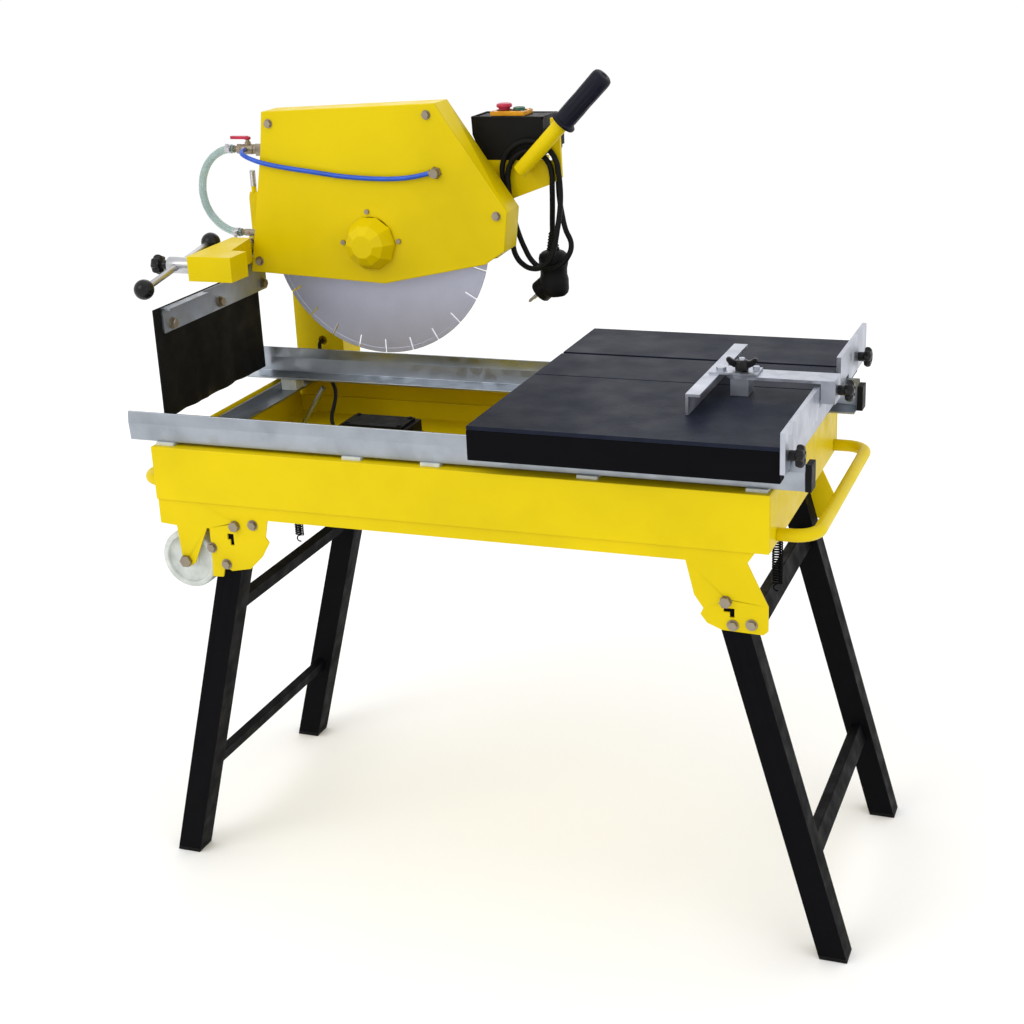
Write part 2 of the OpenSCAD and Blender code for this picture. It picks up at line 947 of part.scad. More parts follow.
module start_button() {
    color("green")
    at_mid()
    translate([button_xs[1], button_y, 1042])
    cylinder(h = 15.5, r = 8.8, $fn = 32);
}

// ---- water supply ----

module water_valve() {
    color("silver")
    at_mid()
    union() {
        bar_x(valve_p[1], valve_p[2], valve_p[0] - 22, valve_p[0] + 14, 8);
        // barb of the clear hose
        bar_x(valve_p[1], valve_p[2], clear_route[11][0], valve_p[0] - 22, 5);
        // stem under the lever
        translate([valve_p[0] - 4, valve_p[1], valve_p[2]])
        cylinder(h = 14, r = 5, $fn = 32);
        // outlet of the blue hose
        bar_y(blue_route[0][0], blue_route[0][2], blue_route[0][1], valve_p[1], 5);
        // bracket on the guard's edge
        translate([valve_p[0] + 12, valve_p[1] - 8, valve_p[2] - 9])
        cube([19, 16, 18]);
        // inlet elbow
        bar_x(valve_p[1], inlet_z, clear_route[0][0], 4.5, 6);
    }
}

module valve_lever() {
    lever_x = valve_p[0] - 4;
    color("crimson")
    at_mid()
    union() {
        translate([lever_x, valve_p[1], valve_p[2] + 14.3])
        cylinder(h = 4, r = 5, $fn = 32);
        translate([lever_x - 26, valve_p[1] - 3.5, valve_p[2] + 15])
        cube([26, 7, 3]);
    }
}

// ---- cords and hoses ----

module mains_cord() {
    color("black")
    at_mid()
    tube(cord_route, cord_d / 2);
}

module mains_plug() {
    tip = cord_route[len(cord_route) - 1];
    relief = 26;
    body = 68;
    pin_tilt = -131;
    color("black")
    at_mid()
    translate(tip)
    union() {
        translate([0, 0, -relief])
        cylinder(h = relief, r1 = 9, r2 = cord_d / 2 + 1, $fn = 32);
        translate([0, 0, -relief - 8])
        cylinder(h = 8.2, r1 = 22, r2 = 9.5, $fn = 48);
        translate([0, 0, -relief - body + 6])
        cylinder(h = body - 13.8, r = 22, $fn = 48);
        translate([0, 0, -relief - body])
        cylinder(h = 6.2, r1 = 17, r2 = 22, $fn = 48);
        // face and contact pins at the lower left
        translate([-4, 0, -relief - body + 20])
        rotate([0, pin_tilt, 0])
        union() {
            cylinder(h = 26, r = 17, $fn = 48);
            for (s = [-1, 1])
            translate([0, s * 9.5, 25])
            cylinder(h = 19, r = 2.4, $fn = 24);
        }
    }
}

module blue_hose() {
    color("royalblue")
    at_mid()
    tube(blue_route, blue_d / 2);
}

module clear_hose() {
    color("lightcyan")
    at_mid()
    tube(clear_route, clear_d / 2);
}

// ---- blade ----

module blade() {
    color("lavender")
    at_mid()
    difference() {
        union() {
            bar_y(axis_x, axis_z, blade_y - blade_t / 2, blade_y + blade_t / 2, blade_d / 2 - 6);
            difference() {
                bar_y(axis_x, axis_z, blade_y - blade_t / 2 - 0.3, blade_y + blade_t / 2 + 0.3, blade_d / 2);
                bar_y(axis_x, axis_z, blade_y - blade_t, blade_y + blade_t, blade_d / 2 - 6.5);
            }
        }
        bar_y(axis_x, axis_z, blade_y - 10, blade_y + 10, 12.7);
        // cooling slots round the rim
        for (k = [0 : 23])
        translate([axis_x, 0, axis_z])
        rotate([0, k * 15, 0])
        block([blade_d / 2 - 20, blade_y - 5, -1.1], [blade_d / 2 + 1, blade_y + 5, 1.1]);
    }
}

module blade_flanges() {
    color("gray")
    at_mid()
    union() {
        bar_y(axis_x, axis_z, blade_y - blade_t / 2 - 12, blade_y - blade_t / 2 - 0.1, 32);
        bar_y(axis_x, axis_z, blade_y + blade_t / 2 + 0.1, blade_y + blade_t / 2 + 12, 32);
        bar_y(axis_x, axis_z, blade_y - 40, motor_y + 7, 12.6);
        hex_y(axis_x, axis_z, blade_y - 30, blade_y - 13, 18);
    }
}

// ---- cart ----

module cart_deck() {
    skirt_z = deck_z1 - 40;
    lip_z = rail_z1 + 3.4;
    color("black")
    at_mid()
    union() {
        difference() {
            block([cart_x0, cart_yf, deck_z0], [cart_x1, cart_yr, deck_z1]);
            block([cart_x0 - 1, slot_y0, deck_z0 - 1], [cart_x1 - 70, slot_y1, deck_z1 + 1]);
        }
        block([cart_x0, cart_yf, skirt_z], [cart_x1, cart_yf + 3, deck_z0]);
        block([cart_x0, cart_yr - 3, skirt_z], [cart_x1, cart_yr, deck_z0]);
        for (x = [cart_x0, cart_x1 - 3]) {
            block([x, cart_yf + 3, lip_z], [x + 3, slot_y0, deck_z0]);
            block([x, slot_y1, lip_z], [x + 3, cart_yr - 3, deck_z0]);
        }
        block([cart_x1 - 3, cart_yf + 3, skirt_z], [cart_x1, rail_yf - 9, lip_z]);
        block([cart_x1 - 3, rail_yf + 60, skirt_z + 2], [cart_x1, rail_yr - rail_flange - 12, lip_z]);
        block([cart_x1 - 3, rail_yr + 9, skirt_z], [cart_x1, cart_yr - 3, lip_z]);
    }
}

module cart_mats() {
    color("darkslategray")
    at_mid()
    union() {
        block([cart_x0, cart_yf, deck_z1 + 0.1], [cart_x1, 233, table_z]);
        block([cart_x0, 235, deck_z1 + 0.1], [cart_x1, slot_y0, table_z]);
        block([cart_x0, slot_y1, deck_z1 + 0.1], [cart_x1, cart_yr, table_z]);
    }
}

roller_yf = rail_yf + 12;
roller_yr = rail_yr - 34;
roller_w = 20;

module roller(x, y) {
    translate([x, y, roller_z])
    rotate([-90, 0, 0])
    difference() {
        cylinder(h = roller_w, r = roller_d / 2, $fn = 64);
        translate([0, 0, -1])
        cylinder(h = roller_w + 2, r = 5.05, $fn = 32);
    }
}

module rollers_left() {
    color("gray")
    at_mid()
    union() {
        roller(roller_xs[0], roller_yf);
        roller(roller_xs[0], roller_yr);
    }
}

module rollers_right() {
    color("gray")
    at_mid()
    union() {
        roller(roller_xs[1], roller_yf);
        roller(roller_xs[1], roller_yr);
    }
}

module roller_bracket(x, y, pin0, pin1) {
    union() {
        block([x - 16, y, roller_z - 9], [x + 16, y + 3, deck_z0 - 0.1]);
        bar_y(x, roller_z, pin0, pin1, 5);
    }
}

module roller_brackets() {
    color("silver")
    at_mid()
    union() {
        for (x = roller_xs) {
            roller_bracket(x, roller_yf + roller_w + 1, roller_yf - 3, roller_yf + roller_w + 2);
            roller_bracket(x, roller_yr + roller_w + 1, roller_yr - 3, roller_yr + roller_w + 2);
        }
    }
}

module stop_fences() {
    over_rail = rail_z1 + 3.4;
    color("silver")
    at_mid()
    union() {
        block([fence_x, -25, over_rail], [fence_x + fence_t, 181, fence_z[1]]);
        block([fence_x, 181, over_rail], [fence_x + fence_t, 331, 708]);
        block([fence_x, 331, over_rail], [fence_x + fence_t, 533, fence_z[1]]);
        // lower edge, interrupted above the rails
        for (y = [[-25, rail_yf - 8], [rail_yf + 10, rail_yr - 10], [rail_yr + 8, 533]])
        block([fence_x, y[0], fence_z[0]], [fence_x + fence_t, y[1], over_rail]);
    }
}

module fence_knob(y) {
    color("black")
    at_mid()
    star_x(y, 702, fence_x + fence_t + gap, 19, 14.5);
}

module fence_knob_front() {
    fence_knob(-2);
}

module fence_knob_rear() {
    fence_knob(470);
}

module guide_bar() {
    leg_x = fence_x + fence_t + 0.6;
    color("silver")
    at_mid()
    union() {
        translate([0, 0, guide_z])
        linear_extrude(height = 4)
        polygon([[770, 211], [770, 186], [782, 178], [leg_x + 19, 178], [leg_x + 19, 219], [782, 219]]);
        block([776, 184, table_z + 0.4], [800, 213, guide_z]);
        block([leg_x, 184, 713], [leg_x + 19, 219, guide_z]);
        // stud of the wing knob
        translate([guide_p[0], guide_p[1], guide_z])
        cylinder(h = 24, r = 4, $fn = 32);
    }
}

module guide_star() {
    color("black")
    at_mid()
    star_x(204, 727, fence_x + fence_t + 20, 21, 14.5);
}

module guide_wing() {
    hub_z = guide_z + 7.6;
    color("black")
    at_mid()
    translate([guide_p[0], guide_p[1], hub_z])
    difference() {
        union() {
            cylinder(h = 14, r = 9, $fn = 48);
            translate([-21, -3, 5])
            cube([42, 6, 12]);
        }
        translate([0, 0, -1])
        cylinder(h = 30, r = 4.05, $fn = 32);
    }
}

module cross_fence() {
    color("silver")
    at_mid()
    difference() {
        union() {
            block([742.5, 84, table_z + 0.4], [746.5, 344, guide_z]);
            block([742.5, 84, guide_z], [761.5, 344, guide_z + 4.2]);
            // pivot plate and its two bolts
            block([748, 180, guide_z + 4.2], [812, 217, guide_z + 7.2]);
            translate([762, 192, guide_z + 7])
            cylinder(h = 5, r = 7, $fn = 6);
            translate([806, 204, guide_z + 7])
            cylinder(h = 5, r = 5, $fn = 6);
        }
        translate([guide_p[0], guide_p[1], guide_z - 1])
        cylinder(h = 20, r = 4.05, $fn = 32);
    }
}

side_panels();
leg_carriers();
water_tray();
cross_bars();
rails();
rail_pads();
rail_caps();
frame_bolts();
carry_handles();
rear_post();
pivot_shaft();
lock_housing();
curtain_strip();
splash_curtain();
pump();
pump_cable();
legs_left();
leg_bars_left();
legs_right();
leg_bars_right();
leg_feet_left();
leg_feet_right();
spring_left();
spring_right();
wheel_front();
wheel_rear();
clamp_screw();
clamp_balls();
clamp_star();
arm();
guard_shell();
guard_cover();
guard_bolts();
hub_dome();
motor();
grip();
switch_box();
switch_plate();
stop_button();
start_button();
water_valve();
valve_lever();
blade();
blade_flanges();
cart_deck();
cart_mats();
rollers_left();
rollers_right();
roller_brackets();
stop_fences();
fence_knob_front();
fence_knob_rear();
guide_bar();
guide_star();
guide_wing();
cross_fence();
mains_cord();
mains_plug();
blue_hose();
clear_hose();
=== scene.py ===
import json
import math
import bmesh
import bpy
from mathutils import Matrix, Vector, noise


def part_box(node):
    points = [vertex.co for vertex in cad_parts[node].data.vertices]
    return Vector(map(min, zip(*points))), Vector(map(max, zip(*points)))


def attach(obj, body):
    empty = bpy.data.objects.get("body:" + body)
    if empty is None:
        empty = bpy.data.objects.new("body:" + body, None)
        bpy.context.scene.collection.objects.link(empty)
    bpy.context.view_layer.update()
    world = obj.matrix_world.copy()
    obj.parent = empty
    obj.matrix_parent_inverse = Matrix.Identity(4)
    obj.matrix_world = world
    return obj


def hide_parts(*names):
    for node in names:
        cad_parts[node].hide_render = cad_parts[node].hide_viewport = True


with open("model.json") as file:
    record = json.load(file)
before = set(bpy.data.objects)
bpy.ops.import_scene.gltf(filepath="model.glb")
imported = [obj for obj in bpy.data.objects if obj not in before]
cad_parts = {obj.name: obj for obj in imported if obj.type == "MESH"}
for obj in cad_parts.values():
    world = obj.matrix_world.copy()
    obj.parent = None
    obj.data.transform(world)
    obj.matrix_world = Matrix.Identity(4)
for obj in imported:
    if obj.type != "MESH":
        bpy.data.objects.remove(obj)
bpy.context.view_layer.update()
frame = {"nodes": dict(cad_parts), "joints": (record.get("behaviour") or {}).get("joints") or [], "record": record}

NODES = frame["nodes"]
JOINTS = {joint["name"]: joint for joint in frame["joints"]}
X, Y, Z = Vector((1, 0, 0)), Vector((0, 1, 0)), Vector((0, 0, 1))

# the frame's left, front corner on the floor, in the row frame
CORNER = Vector((-0.4437, -0.2897, 0.0))


def low(node):
    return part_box(node)[0]


def high(node):
    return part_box(node)[1]


def centre(node):
    lowest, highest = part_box(node)
    return (lowest + highest) / 2


def pivot(joint):
    return Vector(JOINTS[joint]["pos_m"])


def at(x, y, z):
    """A point given in millimetres from the frame's corner."""
    return CORNER + Vector((x, y, z)) / 1000


def on_plane(x, y, z):
    return Vector((at(x, 0, 0).x, y, at(0, 0, z).z))


# ---- camera ----

CAMERA_PLACE = CORNER + Vector((1.29573, -1.92962, 1.34174))
CAMERA_TURN = (21.54, 19.72, -2.58)  # azimuth, elevation and roll, in degrees
FOCAL_LENGTH, SENSOR_WIDTH = 60.14, 36  # millimetres


def make_camera():
    azimuth, elevation, roll = (math.radians(angle) for angle in CAMERA_TURN)
    back = Vector((math.sin(azimuth) * math.cos(elevation), -math.cos(azimuth) * math.cos(elevation),
                   math.sin(elevation)))
    right = (-back).cross(Z).normalized()
    up = right.cross(-back)
    cam_x = right * math.cos(roll) + up * math.sin(roll)
    cam_y = up * math.cos(roll) - right * math.sin(roll)
    data = bpy.data.cameras.new("camera")
    data.lens = FOCAL_LENGTH
    data.sensor_width = SENSOR_WIDTH
    camera = bpy.data.objects.new("camera", data)
    bpy.context.scene.collection.objects.link(camera)
    turn = Matrix((cam_x, cam_y, back)).transposed()
    camera.matrix_world = Matrix.Translation(CAMERA_PLACE) @ turn.to_4x4()
    bpy.context.scene.camera = camera


make_camera()


# ---- material helpers ----

class Shader:
    """A principled material with object-space textures."""

    def __init__(self, name, color, roughness, metallic=0.0):
        self.material = bpy.data.materials.new(name)
        self.material.use_nodes = True
        self.nodes = self.material.node_tree.nodes
        self.links = self.material.node_tree.links
        self.surface = self.nodes["Principled BSDF"]
        self.surface.inputs["Base Color"].default_value = (*color, 1)
        self.surface.inputs["Roughness"].default_value = roughness
        self.surface.inputs["Metallic"].default_value = metallic
        self.place = self.nodes.new("ShaderNodeTexCoord")
        self.height = None

    def set(self, **values):
        for name, value in values.items():
            self.surface.inputs[name.replace("_", " ")].default_value = value
        return self

    def stretch(self, scale):
        mapping = self.nodes.new("ShaderNodeMapping")
        mapping.inputs["Scale"].default_value = scale
        self.links.new(self.place.outputs["Object"], mapping.inputs["Vector"])
        return mapping.outputs["Vector"]

    def noise(self, scale, detail=4.0, stretch=(1, 1, 1), rough=0.5):
        texture = self.nodes.new("ShaderNodeTexNoise")
        texture.inputs["Scale"].default_value = scale
        texture.inputs["Detail"].default_value = detail
        texture.inputs["Roughness"].default_value = rough
        self.links.new(self.stretch(stretch), texture.inputs["Vector"])
        return texture.outputs["Fac"]

    def cells(self, scale, feature="F1", output="Distance"):
        texture = self.nodes.new("ShaderNodeTexVoronoi")
        texture.feature = feature
        texture.inputs["Scale"].default_value = scale
        self.links.new(self.place.outputs["Object"], texture.inputs["Vector"])
        return texture.outputs[output]

    def ramp(self, value, stops):
        ramp = self.nodes.new("ShaderNodeValToRGB")
        elements = ramp.color_ramp.elements
        for number, (position, color) in enumerate(stops):
            element = elements[number] if number < 2 else elements.new(position)
            element.position = position
            element.color = (*color, 1)
        self.links.new(value, ramp.inputs["Fac"])
        return ramp.outputs["Color"]

    def span(self, value, low_to, high_to, low_from=0.3, high_from=0.7):
        node = self.nodes.new("ShaderNodeMapRange")
        node.inputs["From Min"].default_value = low_from
        node.inputs["From Max"].default_value = high_from
        node.inputs["To Min"].default_value = low_to
        node.inputs["To Max"].default_value = high_to
        self.links.new(value, node.inputs["Value"])
        return node.outputs["Result"]

    def color(self, value, stops):
        self.links.new(self.ramp(value, stops), self.surface.inputs["Base Color"])
        return self

    def roughness(self, value, low_to, high_to):
        self.links.new(self.span(value, low_to, high_to), self.surface.inputs["Roughness"])
        return self

    def bump(self, value, strength, depth=0.001):
        node = self.nodes.new("ShaderNodeBump")
        node.inputs["Strength"].default_value = strength
        node.inputs["Distance"].default_value = depth
        self.links.new(value, node.inputs["Height"])
        if self.height is not None:
            self.links.new(self.height, node.inputs["Normal"])
        self.height = node.outputs["Normal"]
        self.links.new(self.height, self.surface.inputs["Normal"])
        return self


def shade(color, factor):
    return tuple(min(1.0, channel * factor) for channel in color)


def paint(name, color, roughness, coat, specular):
    shader = Shader(name, color, roughness)
    shader.set(Coat_Weight=coat, Coat_Roughness=0.12, Specular_IOR_Level=specular)
    shader.color(shader.noise(9, 5), [(0.25, shade(color, 0.9)), (0.55, color), (0.85, shade(color, 1.06))])
    shader.roughness(shader.noise(35, 5), roughness * 0.8, roughness * 1.35)
    shader.bump(shader.noise(700, 2), 0.08, 0.0004)
    shader.bump(shader.noise(60, 3), 0.05, 0.0010)
    return shader.material


def zinc_coat(name, color, roughness=0.36):
    shader = Shader(name, color, roughness, 1.0)
    spangle = shader.cells(55, output="Color")
    shader.color(shader.noise(26, 6), [(0.3, shade(color, 0.86)), (0.5, color), (0.75, shade(color, 1.12))])
    shader.links.new(shader.span(spangle, roughness * 0.75, roughness * 1.4, 0.0, 1.0),
                     shader.surface.inputs["Roughness"])
    shader.bump(shader.noise(500, 3, (0.05, 1, 1)), 0.10, 0.0003)
    shader.bump(shader.noise(22, 4), 0.04, 0.0010)
    return shader.material


def machined(name, color, roughness=0.28, along=(1, 0.06, 1), uneven=0.2):
    shader = Shader(name, color, roughness, 1.0)
    shader.color(shader.noise(30, 5), [(0.3, shade(color, 1 - uneven)),
                                       (0.7, shade(color, 1 + uneven / 2))])
    shader.roughness(shader.noise(160, 5, along), roughness * (1 - uneven), roughness * (1 + 2 * uneven))
    shader.bump(shader.noise(900, 3, along), 0.6 * uneven, 0.0003)
    return shader.material


def plastic(name, color, roughness, grain=900, strength=0.15, specular=0.5):
    shader = Shader(name, color, roughness)
    shader.set(Specular_IOR_Level=specular)
    shader.color(shader.noise(40, 4), [(0.3, shade(color, 0.8)), (0.7, shade(color, 1.2))])
    shader.roughness(shader.noise(80, 4), roughness * 0.85, roughness * 1.2)
    shader.bump(shader.noise(grain, 3), strength, 0.0004)
    return shader.material


def rubber_sheet(name, color, roughness=0.62):
    shader = Shader(name, color, roughness)
    shader.set(Specular_IOR_Level=0.1)
    shader.color(shader.noise(14, 6), [(0.25, shade(color, 0.65)), (0.55, color),
                                       (0.85, shade(color, 1.6))])
    shader.roughness(shader.noise(30, 6), roughness * 0.8, roughness * 1.25)
    shader.bump(shader.noise(260, 4), 0.25, 0.0006)
    shader.bump(shader.noise(12, 3), 0.2, 0.003)
    return shader.material


def table_mat(name, color):
    shader = Shader(name, color, 0.5)
    shader.set(Specular_IOR_Level=0.05)
    shader.color(shader.noise(60, 6), [(0.3, shade(color, 0.85)), (0.7, shade(color, 1.15))])
    shader.roughness(shader.noise(18, 6), 0.42, 0.55)
    shader.bump(shader.cells(420), 0.35, 0.0005)
    shader.bump(shader.noise(120, 5, (0.3, 1, 1)), 0.08, 0.0006)
    return shader.material


def clear_tube(name):
    shader = Shader(name, (0.36, 0.48, 0.46), 0.08)
    shader.set(Transmission_Weight=0.6, IOR=1.35, Coat_Weight=0.4)
    shader.color(shader.noise(30, 4), [(0.3, (0.32, 0.44, 0.42)), (0.7, (0.46, 0.58, 0.55))])
    shader.bump(shader.noise(150, 3), 0.08, 0.0006)
    return shader.material


YELLOW = (0.70, 0.53, 0.0)
MATERIALS = {
    "yellow_paint": paint("yellow_paint", YELLOW, 0.4, 0.02, 0.12),
    "black_paint": paint("black_paint", (0.004, 0.004, 0.005), 0.5, 0.0, 0.03),
    "galvanised": zinc_coat("galvanised", (0.34, 0.37, 0.41), 0.34),
    "zinc": zinc_coat("zinc", (0.44, 0.46, 0.52), 0.38),
    "bright_steel": machined("bright_steel", (0.50, 0.50, 0.52)),
    "gold_zinc": machined("gold_zinc", (0.34, 0.29, 0.22), 0.4, (1, 1, 1)),
    "blade_steel": machined("blade_steel", (0.54, 0.56, 0.70), 0.5, (1, 1, 1), 0.04),
    "motor_paint": paint("motor_paint", (0.022, 0.023, 0.026), 0.45, 0.0, 0.15),
    "black_plastic": plastic("black_plastic", (0.006, 0.006, 0.006), 0.5, 900, 0.15, 0.10),
    "knob_plastic": plastic("knob_plastic", (0.005, 0.005, 0.006), 0.25, 500, 0.05, 0.25),
    "black_rubber": rubber_sheet("black_rubber", (0.007, 0.007, 0.007)),
    "mat_rubber": table_mat("mat_rubber", (0.012, 0.015, 0.027)),
    "grip_rubber": plastic("grip_rubber", (0.006, 0.006, 0.014), 0.45, 600, 0.3, 0.15),
    "nylon": plastic("nylon", (0.55, 0.58, 0.55), 0.45, 300, 0.1, 0.3),
    "red_plastic": plastic("red_plastic", (0.46, 0.02, 0.06), 0.3, 400, 0.05, 0.3),
    "green_plastic": plastic("green_plastic", (0.02, 0.09, 0.05), 0.3, 400, 0.05, 0.3),
    "orange_plastic": plastic("orange_plastic", (0.78, 0.34, 0.01), 0.35, 400, 0.05, 0.3),
    "blue_tube": plastic("blue_tube", (0.01, 0.08, 0.50), 0.2, 200, 0.04, 0.4),
    "clear_tube": clear_tube("clear_tube"),
}


# ---- mesh helpers ----

def link(name, data):
    piece = bpy.data.objects.new(name, data)
    bpy.context.scene.collection.objects.link(piece)
    return piece


def dress(piece, slot, body, *nodes, material=None):
    """Material, material slot, body and the CAD nodes that the piece stands for."""
    piece.data.materials.clear()
    piece.data.materials.append(MATERIALS[material or slot])
    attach(piece, body)
    if nodes:
        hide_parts(*nodes)
    return piece


def mesh_piece(name, bm, smooth_angle=35):
    bmesh.ops.remove_doubles(bm, verts=bm.verts, dist=1e-6)
    bmesh.ops.recalc_face_normals(bm, faces=bm.faces)
    limit = math.radians(smooth_angle)
    for face in bm.faces:
        face.smooth = True
    for edge in bm.edges:
        if len(edge.link_faces) == 2 and edge.calc_face_angle(0) > limit:
            edge.smooth = False
    mesh = bpy.data.meshes.new(name)
    bm.to_mesh(mesh)
    bm.free()
    return link(name, mesh)


def soften(piece, width=0.0008, segments=2, angle=30):
    bevel = piece.modifiers.new("soft_edges", "BEVEL")
    bevel.width = width
    bevel.segments = segments
    bevel.limit_method = "ANGLE"
    bevel.angle_limit = math.radians(angle)
    return piece


def axes(direction):
    """Two directions square to this one, which has a length of 1."""
    side = direction.orthogonal().normalized()
    return side, direction.cross(side)


def add_lathe(bm, profile, origin, direction, sides=48, lobes=0):
    """A turned shape from (radius, distance along the axis) rings.

    With lobes, a third value is the lobes' depth.
    """
    direction = Vector(direction).normalized()
    side, other = axes(direction)
    rings = []
    for radius, along, *depth in profile:
        middle = Vector(origin) + direction * along
        if radius == 0:
            rings.append([bm.verts.new(middle)])
            continue
        ring = []
        for k in range(sides):
            angle = 2 * math.pi * k / sides
            reach = radius
            if depth:
                reach *= 1 - depth[0] * (0.5 - 0.5 * math.cos(lobes * angle))
            ring.append(bm.verts.new(middle + reach * (side * math.cos(angle) + other * math.sin(angle))))
        rings.append(ring)
    for ring, following in zip(rings, rings[1:]):
        for k in range(sides):
            n = (k + 1) % sides
            if len(ring) == 1 and len(following) == 1:
                continue
            if len(ring) == 1:
                bm.faces.new((ring[0], following[k], following[n]))
            elif len(following) == 1:
                bm.faces.new((ring[k], following[0], ring[n]))
            else:
                bm.faces.new((ring[k], following[k], following[n], ring[n]))


def lathe(name, profile, origin, direction, sides=48, lobes=0, smooth_angle=35):
    bm = bmesh.new()
    add_lathe(bm, profile, origin, direction, sides, lobes)
    return mesh_piece(name, bm, smooth_angle)


def washer(radius, edge, thickness):
    """The profile of a flat washer; edge is the height at which it is widest."""
    inner = radius - 0.0002
    return [(0.0, 0.0), (inner, 0.0), (radius, edge), (inner, thickness), (0.0, thickness)]


def add_block(bm, lowest, highest, inset=0.0):
    corners = [Vector((x, y, z)) for x in (lowest[0], highest[0]) for y in (lowest[1], highest[1])
               for z in (lowest[2], highest[2])]
    verts = [bm.verts.new(corner) for corner in corners]
    faces = [(0, 1, 3, 2), (4, 6, 7, 5), (0, 4, 5, 1), (2, 3, 7, 6), (0, 2, 6, 4), (1, 5, 7, 3)]
    made = [bm.faces.new([verts[i] for i in face]) for face in faces]
    if inset:
        edges = {edge for face in made for edge in face.edges}
        bmesh.ops.bevel(bm, geom=list(edges), offset=inset, segments=3, affect="EDGES", profile=0.5)


def add_prism(bm, outline, base, u, v, depth):
    """An outline of (u, v) points, pushed along depth."""
    base, u, v, depth = (Vector(a) for a in (base, u, v, depth))
    bottom = [bm.verts.new(base + u * a + v * b) for a, b in outline]
    top = [bm.verts.new(vert.co + depth) for vert in bottom]
    bm.faces.new(bottom)
    bm.faces.new(list(reversed(top)))
    count = len(outline)
    for k in range(count):
        n = (k + 1) % count
        bm.faces.new((bottom[k], bottom[n], top[n], top[k]))


def curve_piece(name, points, radius):
    """A smooth tube through these points."""
    data = bpy.data.curves.new(name, "CURVE")
    data.dimensions = "3D"
    data.bevel_depth = radius
    data.bevel_resolution = 4
    data.use_fill_caps = True
    data.resolution_u = 8
    spline = data.splines.new("BEZIER")
    spline.bezier_points.add(len(points) - 1)
    for knot, point in zip(spline.bezier_points, points):
        knot.co = point
        knot.handle_left_type = "AUTO"
        knot.handle_right_type = "AUTO"
    return link(name, data)


def wire(name, points, radius):
    """A bent wire through these points."""
    data = bpy.data.curves.new(name, "CURVE")
    data.dimensions = "3D"
    data.bevel_depth = radius
    data.bevel_resolution = 3
    data.use_fill_caps = True
    spline = data.splines.new("POLY")
    spline.points.add(len(points) - 1)
    for knot, point in zip(spline.points, points):
        knot.co = (*point, 1)
    return link(name, data)


# ---- cords and hoses ----

# the same routes as in the CAD model, in metres from the frame's corner
CORD_ROUTE = [
    (0.457, 0.44, 0.99), (0.457, 0.439, 0.97), (0.4585, 0.434, 0.949), (0.463, 0.424, 0.928),
    (0.47, 0.413, 0.908), (0.478, 0.403, 0.888), (0.489, 0.395, 0.866), (0.485, 0.389, 0.85),
    (0.474, 0.386, 0.8378), (0.4586, 0.385, 0.8322), (0.4423, 0.386, 0.8345), (0.4297, 0.3885, 0.8432),
    (0.418, 0.3915, 0.861), (0.409, 0.393, 0.882), (0.402, 0.394, 0.905), (0.396, 0.3945, 0.928),
    (0.3905, 0.3945, 0.95), (0.387, 0.3945, 0.971), (0.3904, 0.3945, 0.9878), (0.4001, 0.3945, 1.002),
    (0.4139, 0.3945, 1.011), (0.43, 0.3945, 1.014), (0.4461, 0.3945, 1.011), (0.4599, 0.3945, 1.002),
    (0.4696, 0.3945, 0.9878), (0.473, 0.3945, 0.971), (0.475, 0.394, 0.951), (0.476, 0.391, 0.931),
    (0.4755, 0.386, 0.911), (0.4735, 0.38, 0.89), (0.47, 0.376, 0.868), (0.4654, 0.3735, 0.851),
    (0.453, 0.373, 0.8386), (0.436, 0.3755, 0.834), (0.419, 0.3805, 0.8386), (0.4066, 0.3845, 0.851),
    (0.402, 0.386, 0.868), (0.4015, 0.385, 0.888), (0.4015, 0.3845, 0.908), (0.4005, 0.3848, 0.928),
    (0.3985, 0.3875, 0.948), (0.397, 0.3912, 0.967), (0.4014, 0.3938, 0.9835), (0.4135, 0.3945, 0.9956),
    (0.43, 0.3945, 1), (0.4465, 0.3945, 0.9956), (0.4586, 0.3945, 0.9835), (0.463, 0.3945, 0.967),
    (0.4625, 0.3955, 0.95), (0.461, 0.399, 0.933), (0.4585, 0.4045, 0.916), (0.456, 0.4095, 0.899),
    (0.4545, 0.4125, 0.881),
]
BLUE_ROUTE = [
    (-0.009, 0.350, 1.004), (-0.007, 0.3395, 1.003), (-0.001, 0.330, 1.001), (0.008, 0.3245, 0.998),
    (0.019, 0.322, 0.9945), (0.034, 0.322, 0.990), (0.054, 0.3225, 0.986), (0.080, 0.323, 0.982),
    (0.108, 0.3235, 0.9785), (0.135, 0.3235, 0.975), (0.160, 0.3235, 0.972), (0.188, 0.3235, 0.970),
    (0.214, 0.3235, 0.969), (0.240, 0.3235, 0.969), (0.264, 0.3235, 0.9705), (0.286, 0.3235, 0.974),
    (0.303, 0.3235, 0.978),
]
CLEAR_ROUTE = [
    (-0.032, 0.362, 0.878), (-0.046, 0.362, 0.879), (-0.062, 0.362, 0.885), (-0.076, 0.362, 0.896),
    (-0.087, 0.362, 0.911), (-0.093, 0.362, 0.930), (-0.093, 0.362, 0.950), (-0.087, 0.362, 0.970),
    (-0.076, 0.362, 0.986), (-0.062, 0.362, 0.997), (-0.046, 0.362, 1.003), (-0.032, 0.362, 1.004),
]
PUMP_ROUTE = [
    (0.158, 0.272, 0.600), (0.147, 0.274, 0.602), (0.138, 0.282, 0.608), (0.131, 0.296, 0.616),
    (0.126, 0.314, 0.624), (0.120, 0.332, 0.630), (0.112, 0.350, 0.634), (0.102, 0.368, 0.6365),
    (0.091, 0.383, 0.641), (0.081, 0.393, 0.651), (0.072, 0.398, 0.666), (0.064, 0.404, 0.679),
    (0.056, 0.416, 0.688), (0.050, 0.430, 0.691), (0.047, 0.445, 0.691),
]
